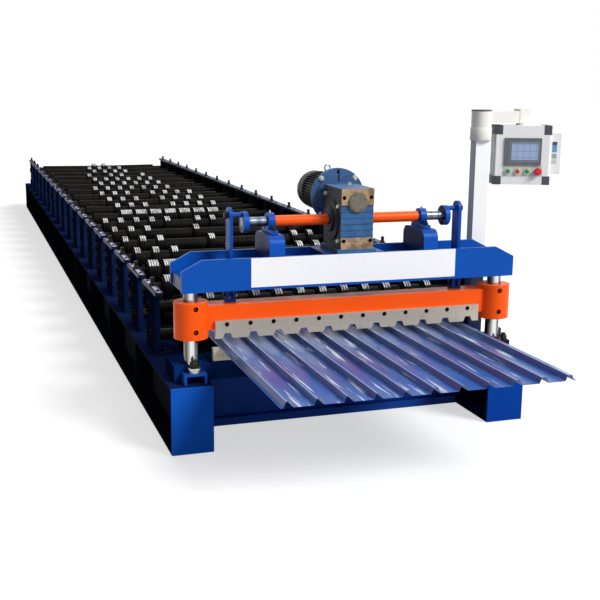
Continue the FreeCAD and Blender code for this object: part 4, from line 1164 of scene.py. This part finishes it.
@dataclass
class RollStands:
    """Side plates of the stations with their strips, studs and drive guard."""

    rail_top: float = 0.658
    foot_top: float = 0.334
    foot_inward: float = 0.042
    screw_step: float = 0.14
    foot_step: float = 0.09
    batten_gaps: int = 9
    batten_half: float = 0.02
    batten_proud: float = 0.003

    def spots(self, x: float, height: float, *steps: float) -> Spots:
        """Spots that look up, on both sides of each station.

        Args:
            x: Distance from the middle of the line.
            height: Height of the seats.
            steps: Distances from the station along the line.

        Returns:
            The spots.
        """
        return [((side * x, FIRST_STATION + STATION_PITCH * at + step, height), Axis.Z)
                for side in SIDES for at in range(STATIONS) for step in steps]

    def guard_battens(self) -> None:
        """Flat battens over the joints of the drive guard, each with its screws."""
        low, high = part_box("right_top_rail")
        face = high.x + self.batten_proud
        half = self.batten_half
        middles = [low.y + half + (high.y - low.y - 2 * half) * at / self.batten_gaps
                   for at in range(self.batten_gaps + 1)]
        battens = Shape()
        for y in middles:
            battens.block((high.x, y - half, low.z + 0.004), (face, y + half, high.z - 0.004), 0.001)
        battens.make("guard_battens", RAIL_PAINT)
        heights = (low.z + 0.04, (low.z + high.z) / 2, high.z - 0.04)
        spots = [((face, y, height), Axis.X) for y in middles for height in heights]
        Shape().hexagons(spots, across=0.010, height=0.005).make("guard_screws", ZINC)

    def build(self) -> None:
        """Paint plates, strips, rail and studs, and set the nuts, screws, bolts and battens."""
        dress(NAVY, 1.5, "left_stand_plates")
        dress(NIGHT, 1.5, "right_stand_plates")
        dress(STRIP_PAINT, 1.5, "left_tie_strips")
        dress(RAIL_PAINT, 1.5, "right_top_rail")
        dress(BLACK_OXIDE, 0, "adjusting_screws")
        nuts = self.spots(STAND_X, self.rail_top, 0.0)
        Shape().hexagons(nuts, across=0.030, height=0.016).make("adjusting_lock_nuts", BLACK_OXIDE)
        screws = self.spots(STAND_X, self.rail_top, -self.screw_step, self.screw_step)
        Shape().socket_heads(screws, radius=0.0075, height=0.007).make("strip_cap_screws", BLACK_OXIDE)
        bolts = self.spots(STAND_X - self.foot_inward, self.foot_top, -self.foot_step, self.foot_step)
        Shape().hexagons(bolts, across=0.024, height=0.014).make("stand_foot_bolts", BLACK_OXIDE)
        self.guard_battens()


@dataclass
class RollTrain:
    """Upper shafts with their ring groups, the lower drums, the sheet and the entry table."""

    axis_height: float = 0.544
    shaft_end: float = 0.884
    journal: float = 0.030
    half_face: float = 0.715
    sleeve: float = 0.044
    shoulder: float = 0.050
    ring: float = 0.072
    group_width: float = 0.062
    wide_group: float = 0.112
    collar: float = 0.011
    groove: float = 0.0026
    groove_depth: float = 0.016
    ring_pitch: float = 0.0135
    ring_edge: float = 0.001
    shaft_edge: float = 0.002
    middle_pan: float = 5.5
    facets: int = 44
    wide_stations: tuple[int, ...] = (2, 7)
    pressed: tuple[tuple[int, ...], ...] = (
        tuple(range(12)), tuple(range(12)), tuple(range(12)), (0, 1, 2, 5, 9, 10), (0, 1, 2, 5, 10, 11),
        (0, 1, 2, 5, 10, 11), (0, 1, 2, 3, 4, 6, 7, 9), (2, 3, 4, 5, 6, 7, 8), (2, 3, 4, 6, 7, 8, 9),
        (2, 3, 4, 6, 7, 8, 9), (2, 3, 4, 6, 7, 8, 9), (2, 3, 4, 5, 6, 7, 8), (3, 4, 5, 6, 7, 8),
        (3, 4, 5, 6, 7, 8), (3, 5, 6, 8), (4, 5, 6, 7), (4, 5, 6, 7), (5, 6))

    def ring_group(self, low: float, high: float) -> list[tuple[float, float]]:
        """Profile of one group of thin rings between two collars.

        Args:
            low: X where the group starts.
            high: X where it ends.

        Returns:
            Points as (x, radius).
        """
        foot = self.ring - self.groove_depth
        first = low + self.collar
        last = high - self.collar
        count = max(2, round((last - first) / self.ring_pitch))
        pitch = (last - first + self.groove) / count
        width = pitch - self.groove
        profile = [(low, self.sleeve), (low, foot)]
        for start in (first + at * pitch for at in range(count)):
            end = start + width
            low_rim = self.ring - self.ring_edge
            profile += [(start, foot), (start, low_rim), (start + self.ring_edge, self.ring),
                        (end - self.ring_edge, self.ring), (end, low_rim), (end, foot)]
        return profile + [(high, foot), (high, self.sleeve)]

    def roll(self, station: int) -> None:
        """Build one upper roll in place of its plain solid.

        Args:
            station: Number of the station, counted from the exit end.
        """
        group = self.wide_group if station in self.wide_stations else self.group_width
        start = [(self.shaft_end, 0.0), (self.shaft_end, self.journal - self.shaft_edge),
                 (self.shaft_end - self.shaft_edge, self.journal), (self.half_face, self.journal),
                 (self.half_face, self.shoulder), (self.half_face - 0.0005, self.shoulder)]
        profile = [(-x, radius) for x, radius in start]
        for pan in self.pressed[station]:
            centre = (pan - self.middle_pan) * RIB_PITCH
            low = max(centre - group / 2, -self.half_face + 0.001)
            high = min(centre + group / 2, self.half_face - 0.001)
            profile += self.ring_group(low, high)
        profile += reversed(start)
        place = Axis.X.at((0.0, FIRST_STATION + station * STATION_PITCH, self.axis_height))
        body = f"upper_roll_{station + 1:02d}"
        shape = Shape().turned(profile, place, self.facets)
        piece = shape.make(f"ringed_roll_{station + 1:02d}", ROLLS, body)
        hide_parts(body)

    def build(self) -> None:
        """Build the train."""
        for station in range(STATIONS):
            self.roll(station)
        dress(LOWER_ROLLS, 0, "lower_rolls")
        dress(SHEET, 0, "formed_sheet")
        dress(BASE_BLUE, 1.2, "entry_table")


@dataclass
class ShearFrame:
    """Fixed top frame, posts and bed of the shear."""

    post_x: float = 0.790
    clamp_y: float = -0.333
    clamp_top: float = 0.372
    spacer: float = 0.016
    flange: float = 0.008
    seat_top: float = 0.400
    pillow_x: float = 0.392
    pillow_foot: float = 0.018
    pillow_bolt_reach: float = 0.062

    def clamp_bolts(self) -> None:
        """Big nut over a bright flanged spacer on each clamp, and the seat's bolt on the right."""
        top = self.spacer
        seat = top + self.flange
        profile = [(0.0, 0.0), (0.0, 0.024), (top, 0.024), (top, 0.029), (seat - 0.002, 0.029),
                   (seat, 0.027), (seat, 0.0)]
        ends = (-self.post_x, self.post_x)
        washers = Shape()
        for x in ends:
            washers.turned(profile, Axis.Z.at((x, self.clamp_y, self.clamp_top)), 28)
        nuts = Shape().hexagons([((x, self.clamp_y, self.clamp_top + seat), Axis.Z) for x in ends],
                                across=0.038, height=0.030, stud=0.008)
        seat_bolt = [((self.post_x + 0.061, -0.286, self.seat_top), Axis.Z)]
        nuts.hexagons(seat_bolt, across=0.036, height=0.026, stud=0.012)
        washers.make("clamp_washers", ZINC)
        nuts.make("clamp_nuts", BLACK_OXIDE)

    def limit_switch(self) -> None:
        """Small light housing with a roller lever, beside the right post."""
        x, y, z = self.post_x + 0.050, -0.222, self.seat_top
        Shape().block((x, y, z), (x + 0.036, y + 0.042, z + 0.046), 0.003).make("limit_switch_housing", POST)
        profile = [(0.0, 0.0), (0.0, 0.008), (0.010, 0.008), (0.011, 0.007), (0.011, 0.0)]
        place = Axis.FRONT.at((x + 0.018, y, z + 0.034))
        Shape().turned(profile, place, 20).make("limit_switch_roller", BLACK_OXIDE)

    def pillow_bolts(self) -> None:
        """Two bolts on the base of each crank bearing, and a grease nipple on top."""
        low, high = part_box("pillow_blocks")
        ends = (-self.pillow_x, self.pillow_x)
        spots = [((x, CRANK_Y + side * self.pillow_bolt_reach, low.z + self.pillow_foot), Axis.Z)
                 for x in ends for side in SIDES]
        Shape().hexagons(spots, across=0.019, height=0.012, stud=0.008).make("pillow_bolts", BLACK_OXIDE)
        nipples = Shape()
        for x in ends:
            nipples.turned([(-0.001, 0.0), (-0.001, 0.0055), (0.005, 0.0055), (0.006, 0.003), (0.011, 0.003),
                            (0.013, 0.0)], Axis.Z.at((x, CRANK_Y, high.z)), 12)
        nipples.make("grease_nipples", ZINC)

    def frame_bolts(self) -> None:
        """Bolts on the back of the frame, into the webs and the post blocks."""
        low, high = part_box("rear_frame_plate")
        spots = [((side * x, high.y, low.z + step), Axis.Y)
                 for x in (self.pillow_x, 0.765, 0.815) for side in SIDES for step in (0.03, 0.085)]
        Shape().hexagons(spots, across=0.019, height=0.012).make("frame_rear_bolts", BLACK_OXIDE)

    def build(self) -> None:
        """Paint the plates, brackets and seats, and set the bolts and the switch."""
        dress(BLUE, 1.2, "front_frame_plate", "rear_frame_plate", "frame_cross_plates", "bearing_brackets")
        dress(SHADE_BLUE, 1.2, "post_seats", "bottom_beam")
        dress(BASE_BLUE, 1.2, "hold_down_clamps")
        dress(BLUE_BRIGHT, 1.2, "pillow_blocks")
        dress(SIGN, 0.6, "sign_plate")
        dress(CHROME, 0, "guide_posts")
        dress(BLADE, 0.4, "lower_blade")
        self.clamp_bolts()
        self.limit_switch()
        self.pillow_bolts()
        self.frame_bolts()


@dataclass
class ShearCarriage:
    """Moving beam with its sleeves, blade and clevises."""

    hole_height: float = 0.587
    holes: int = 12
    first_hole: float = -0.628
    hole_pitch: float = 0.11355
    screw_x: float = 0.783
    rod_x: float = 0.590
    clevis_half: float = 0.023
    clevis_pin_z: float = 0.716

    def build(self) -> None:
        """Paint the beam and sleeves, grind the blade, and set screws and pin heads."""
        dress(BLADE, 0.5, "upper_blade")
        dress(ORANGE, 1.2, "blade_beam")
        dress(ORANGE, 1.5, "guide_sleeves")
        dress(BLUE, 1.2, "beam_clevises")
        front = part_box("upper_blade")[0].y
        spots = [((self.first_hole + at * self.hole_pitch, front, self.hole_height), Axis.FRONT)
                 for at in range(self.holes)]
        Shape().socket_heads(spots, radius=0.0105, height=0.0016).make("blade_cap_screws", BORE, CARRIAGE)
        low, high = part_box("guide_sleeves")
        spots = [((x, low.y + 0.001, height), Axis.FRONT)
                 for x in (-self.screw_x, self.screw_x) for height in (low.z + 0.040, high.z - 0.025)]
        Shape().socket_heads(spots, radius=0.0115, height=0.0022).make("sleeve_cap_screws", BORE, CARRIAGE)
        ends = ((Axis.X, self.clevis_half), (Axis.LEFT, -self.clevis_half))
        spots = [((side * self.rod_x + reach, CRANK_Y, self.clevis_pin_z), axis)
                 for side in SIDES for axis, reach in ends]
        Shape().hexagons(spots, across=0.026, height=0.009).make("clevis_pin_heads", BLACK_OXIDE, CARRIAGE)


@dataclass
class CrankDrive:
    """Crank shaft, its cover tubes, discs and rods."""

    pin_z: float = 1.085
    pin_end: float = 0.604
    disc_inner: float = 0.505
    screw_down: float = 0.036

    def build(self) -> None:
        """Finish each piece, and set nuts on the pins and clamp screws on the discs."""
        dress(TURNED, 0.6, "crank_shaft")
        dress(ORANGE, 0.8, "crank_tubes")
        dress(BLUE, 1.2, "crank_discs")
        dress(BLUE_BRIGHT, 0, "left_connecting_rod", "right_connecting_rod")
        nuts = Shape()
        screws = Shape()
        for side, outward, inward in ((-1, Axis.LEFT, Axis.X), (1, Axis.X, Axis.LEFT)):
            pin = (side * self.pin_end, CRANK_Y, self.pin_z)
            seat = (side * self.disc_inner, CRANK_Y, CRANK_Z - self.screw_down)
            nuts.hexagons([(pin, outward)], across=0.030, height=0.012)
            screws.socket_heads([(seat, inward)], radius=0.008, height=0.006)
        nuts.make("crank_pin_nuts", BLACK_OXIDE, CRANK)
        screws.make("disc_clamp_screws", BLACK_OXIDE, CRANK)


@dataclass
class WormDrive:
    """Worm reducer with its flanged, finned motor."""

    front: float = -0.350
    worm_z: float = 1.145
    half_width: float = 0.0825
    flange_y: float = -0.084
    bolt_circle: float = 0.1235
    cover_circle: float = 0.036
    cover_start: float = 0.4
    motor_start: float = -0.062
    motor_length: float = 0.270
    fan_cover: float = 0.080
    motor_radius: float = 0.100
    fins: int = 44
    fin_gap: float = 0.42
    eye_reach: float = 0.137

    def around(self, reach: float, y: float, start: float) -> Spots:
        """Four spots on a circle about the worm, looking to the front.

        Args:
            reach: Radius of the circle.
            y: Where the circle lies along the worm.
            start: Angle of the first spot.

        Returns:
            The spots.
        """
        angles = [start + turn * math.pi / 2 for turn in range(4)]
        return [((reach * math.cos(angle), y, self.worm_z + reach * math.sin(angle)), Axis.FRONT)
                for angle in angles]

    def about_worm(self, y: float, angle: float) -> Matrix:
        """Placement on the worm's axis, turned about it."""
        return Matrix.Translation(Vector((0.0, y, self.worm_z))) @ Matrix.Rotation(-angle, 4, "Y")

    def holes_and_plugs(self) -> None:
        """Drilled holes in the milled pads, oil plugs on both sides and the breather on top."""
        holes = Shape()
        for x, height in ((0.0685, 1.165), (0.068, 0.960)):
            for side in SIDES:
                place = Axis.FRONT.at((side * x, self.front, height))
                holes.turned([(0.0, 0.0095), (0.0003, 0.0095), (0.0003, 0.0)], place, 20)
        holes.make("pad_drilled_holes", BORE)
        places = ((-0.31, 0.955), (-0.135, 1.165), (-0.31, 1.12))
        spots = [((side * self.half_width, y, height), axis)
                 for side, axis in ((-1, Axis.LEFT), (1, Axis.X)) for y, height in places]
        plugs = Shape().hexagons(spots, across=0.017, height=0.009)
        plugs.hexagons([((0.03, -0.16, self.worm_z + 0.062), Axis.Z)], across=0.017, height=0.010)
        plugs.make("oil_plugs", ZINC)

    def flange_details(self) -> None:
        """Bolts round the flange, its dark casting rib, and screws and centre mark of the end cover."""
        bolts = self.around(self.bolt_circle, self.flange_y, math.pi / 4)
        Shape().hexagons(bolts, across=0.020, height=0.011).make("flange_bolts", ZINC)
        rib = Shape().block((-0.0025, self.flange_y - 0.0105, self.worm_z + 0.075),
                            (0.0025, self.flange_y + 0.001, self.worm_z + 0.130))
        rib.make("flange_rib", BORE)
        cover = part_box("reducer_cover")[0].y
        spots = self.around(self.cover_circle, cover, self.cover_start)
        screws = Shape().socket_heads(spots, radius=0.0045, height=0.002)
        mark = Axis.FRONT.at((0.0, cover, self.worm_z))
        screws.turned([(0.0, 0.006), (0.0005, 0.006), (0.0005, 0.0)], mark, 16)
        screws.make("cover_screws", RAW_COVER)

    def motor(self) -> None:
        """Finned motor with end shields, slotted fan cover and terminal box."""
        start = self.motor_start
        end = start + self.motor_length
        back = end + self.fan_cover
        radius = self.motor_radius
        body = Shape()
        profile = [
            (start, 0.0), (start, radius), (start + 0.024, radius), (start + 0.026, radius - 0.003),
            (start + 0.026, radius - 0.014), (end - 0.022, radius - 0.014), (end - 0.022, radius - 0.003),
            (end - 0.020, radius - 0.001), (end, radius - 0.001), (end, radius - 0.004),
            (back - 0.020, radius - 0.004), (back - 0.010, radius - 0.008), (back - 0.003, radius - 0.016),
            (back, radius - 0.030), (back, 0.0)]
        body.turned(profile, Axis.Y.at((0.0, 0.0, self.worm_z)), 56)
        for at in range(self.fins):
            angle = 2 * math.pi * (at + 0.5) / self.fins
            if abs(math.atan2(math.sin(angle), math.cos(angle))) >= self.fin_gap:
                body.block((radius - 0.016, start + 0.028, -0.0016), (radius - 0.0006, end - 0.024, 0.0016),
                           0.0006, self.about_worm(0.0, angle))
        for near, far, more in ((-0.020, 0.028, 0.0), (0.029, 0.040, 0.001)):
            body.block((radius + near, start + 0.035 - more, self.worm_z - 0.045 - more),
                       (radius + far, start + 0.125 + more, self.worm_z + 0.045 + more), 0.004)
        foot = Axis.Z.at((0.0, start + self.eye_reach, self.worm_z + radius - 0.017))
        body.turned([(0.0, 0.015), (0.026, 0.015), (0.028, 0.013), (0.028, 0.0)], foot, 24)
        piece = body.make("finned_motor", MOTOR_BLACK)
        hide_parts("drive_motor")
        slots = Shape()
        for ring, count in ((0.024, 8), (0.040, 14), (0.056, 20)):
            for at in range(count):
                slots.block((ring - 0.005, -0.0003, -0.0028), (ring + 0.005, 0.0003, 0.0028), 0.0001,
                            self.about_worm(back, 2 * math.pi * at / count))
        slots.make("fan_cover_slots", BORE)

    def eye(self) -> None:
        """Lifting eye on the motor."""
        y = self.motor_start + self.eye_reach
        centre = Vector((0.0, y, self.worm_z + self.motor_radius + 0.027))
        angles = [math.pi * at / 12 for at in range(25)]
        path = [centre + 0.015 * Vector((math.cos(angle), 0.0, math.sin(angle))) for angle in angles]
        collar = Axis.Z.at((0.0, y, self.worm_z + self.motor_radius - 0.001))
        shape = Shape().strip(path, 0.005, 10)
        shape.turned([(0.011, 0.011), (0.016, 0.011), (0.018, 0.007)], collar, 20)
        shape.make("motor_lifting_eye", ZINC)

    def build(self) -> None:
        """Build the drive."""
        dress(CASTING, 1.0, "gear_reducer")
        dress(RAW_COVER, 0.8, "reducer_cover")
        dress(FLANGE_PAINT, 1.5, "motor_flange")
        self.holes_and_plugs()
        self.flange_details()
        self.motor()
        self.eye()


@dataclass
class ControlStation:
    """Post, arm and box with the screen, buttons and sockets."""

    post_x: float = 0.811
    post_y: float = -0.020
    head_low: float = 1.4063
    head_top: float = 1.5563
    box_x: float = 1.051
    box_top: float = 1.4837
    box_turn: float = -20.0
    half_width: float = 0.1475
    half_depth: float = 0.065
    height: float = 0.306
    corner_reach: float = 0.040
    corner_proud: float = 0.0012
    corner_cut: float = 0.006
    corner_top: float = 0.046
    corner_foot: float = 0.044
    button_height: float = -0.237
    button_xs: tuple[float, ...] = (-0.074, -0.024, 0.026)
    stop_x: float = 0.082
    seam_x: float = 0.112

    def on_box(self, x: float = 0.0, y: float = 0.0, z: float = 0.0, tilt: float = 0.0) -> Matrix:
        """Placement in the box's own frame, whose origin is the middle of its top.

        Args:
            x: Distance to the right.
            y: Distance to the back.
            z: Height.
            tilt: Turn about the box's width, in degrees.

        Returns:
            The placement.
        """
        box = (Matrix.Translation(Vector((self.box_x, self.post_y, self.box_top)))
               @ Matrix.Rotation(math.radians(self.box_turn), 4, "Z"))
        return box @ Matrix.Translation(Vector((x, y, z))) @ Matrix.Rotation(math.radians(tilt), 4, "X")

    def panel(self, name: str, finish: Finish, low: Sequence[float], high: Sequence[float],
              edge: float) -> None:
        """Make one flat block on the box.

        Args:
            name: Name of the piece.
            finish: Its finish.
            low: Lowest corner in the box's own frame.
            high: Highest corner.
            edge: Width of its broken edges.
        """
        Shape().block(low, high, edge, self.on_box()).make(name, finish, BOX)

    def head(self) -> None:
        """Dark cap and joint ring of the swivel head."""
        cap = [(0.0, 0.0), (0.0, 0.0535), (0.003, 0.0535), (0.007, 0.050), (0.007, 0.0)]
        ring = [(0.0, 0.0522), (0.0, 0.0545), (0.002, 0.0555), (0.062, 0.0555), (0.064, 0.0545),
                (0.064, 0.0522)]
        for name, finish, profile, z in (("swivel_head_cap", ABS_GREY, cap, self.head_top),
                                         ("swivel_head_ring", ARM_COAT, ring, self.head_low + 0.002)):
            Shape().turned(profile, Axis.Z.at((self.post_x, self.post_y, z)), 40).make(name, finish, ARM)

    def corner_caps(self) -> None:
        """Moulded caps over the four corners of the front, as deep as the box."""
        shape = Shape()
        proud = self.corner_proud
        cut = self.corner_cut
        back = self.half_depth + proud
        for side in SIDES:
            outer = side * (self.half_width + proud)
            inner = side * (self.half_width - self.corner_reach)
            half = [(inner, back), (outer - side * cut, back), (outer - side * cut * 0.3, back - cut * 0.3),
                    (outer, back - cut)]
            outline = [(x, -y) for x, y in half] + half[::-1]
            if side < 0:
                outline.reverse()
            for low, high in ((-self.corner_top, proud),
                              (-self.height - proud, -self.height + self.corner_foot)):
                shape.prism(outline, low, high, self.on_box())
        shape.make("box_corner_caps", ABS_GREY, BOX)

    def front_panels(self) -> None:
        """Steps of the bezel, the lit glass in it, and the plate behind the buttons."""
        front = -self.half_depth - 0.007
        back = front + 0.001
        self.panel("screen_step", BEZEL_LIGHT, (-0.068, front - 0.0006, -0.186), (0.084, back, -0.084),
                   0.0005)
        self.panel("screen_gasket", BEZEL, (-0.066, front - 0.0009, -0.184), (0.082, back, -0.086), 0.0004)
        self.panel("screen_glass", SCREEN, (-0.060, front - 0.0013, -0.178), (0.078, back, -0.092), 0.0004)
        self.panel("switch_plate", LAMINATE, (-0.100, -self.half_depth - 0.0012, self.button_height - 0.026),
                   (0.107, -self.half_depth + 0.001, self.button_height + 0.028), 0.0005)

    def buttons(self) -> None:
        """Caps in bright bezel rings: green, red, green, and the red mushroom stop."""
        rings = Shape()
        green = Shape()
        red = Shape()
        cap = [(0.002, 0.0112), (0.0105, 0.0112), (0.0125, 0.0102), (0.0135, 0.007), (0.014, 0.0)]
        mushroom = [(0.012, 0.0140), (0.0125, 0.0195), (0.0145, 0.0200), (0.021, 0.0192), (0.0255, 0.0165),
                    (0.0275, 0.011), (0.028, 0.0)]
        for x, caps in zip(self.button_xs, (green, red, green)):
            seat = self.on_box(x, -self.half_depth, self.button_height, 90)
            rings.turned([(0.0, 0.0168), (0.004, 0.0168), (0.0055, 0.0155), (0.0055, 0.0108)], seat, 32)
            caps.turned(cap, seat, 28)
        seat = self.on_box(self.stop_x, -self.half_depth, self.button_height, 90)
        sleeve = [(0.0, 0.0165), (0.006, 0.0165), (0.0075, 0.0155), (0.013, 0.0145)]
        collar = Shape().turned(sleeve, seat, 32)
        red.turned(mushroom, seat, 36)
        rings.make("button_rings", ZINC, BOX)
        collar.make("stop_collar", ABS_GREY, BOX)
        green.make("green_button_caps", GREEN_CAP, BOX)
        piece = red.make("red_button_caps", RED_CAP, BOX)
        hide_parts("push_buttons")

    def sockets(self) -> None:
        """Sockets in the front of the side housing."""
        for name, finish, low, high in (("service_socket_dark", ABS_GREY, -0.101, -0.083),
                                        ("service_socket_blue", BLUE_SOCKET, -0.137, -0.1015),
                                        ("service_socket_grey", BEZEL_LIGHT, -0.170, -0.145),
                                        ("service_socket_pale", LAMINATE, -0.197, -0.174)):
            self.panel(name, finish, (0.1600, -0.032, low), (0.1840, -0.029, high), 0.001)

    def back_details(self) -> None:
        """Door seam and locks on the back of the box."""
        front, back = self.half_depth - 0.0005, self.half_depth + 0.0004
        reach, top, foot = self.seam_x, -0.012, -self.height + 0.012
        seam = Shape()
        for x in (-reach, reach):
            seam.block((x - 0.001, front, foot), (x + 0.001, back, top), 0.0002, self.on_box())
        for z in (foot, top):
            seam.block((-reach, front, z - 0.001), (reach, back, z + 0.001), 0.0002, self.on_box())
        seam.make("box_door_seam", BORE, BOX)
        locks = Shape()
        for z in (-0.07, -0.235):
            locks.turned([(0.0, 0.012), (0.003, 0.012), (0.0045, 0.0105), (0.0045, 0.0)],
                         self.on_box(0.095, self.half_depth, z, -90), 24)
        locks.make("box_door_locks", ZINC, BOX)

    def build(self) -> None:
        """Build the control station."""
        dress(POST, 2.0, "control_post")
        dress(ARM_COAT, 2.0, "control_arm")
        dress(WHITE, 1.5, "control_box", "box_corners")
        dress(BEZEL, 1.5, "touch_screen")
        self.head()
        self.corner_caps()
        self.front_panels()
        self.buttons()
        self.sockets()
        self.back_details()


def main() -> None:
    """Build the classes in order."""
    logging.basicConfig(level=logging.INFO, format="%(message)s")
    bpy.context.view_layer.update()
    for part in (Studio(), BaseFrame(), RollStands(), RollTrain(), ShearFrame(), ShearCarriage(),
                 CrankDrive(), WormDrive(), ControlStation()):
        part.build()
    log.info("all pieces built")


if __name__ == "__main__":
    main()
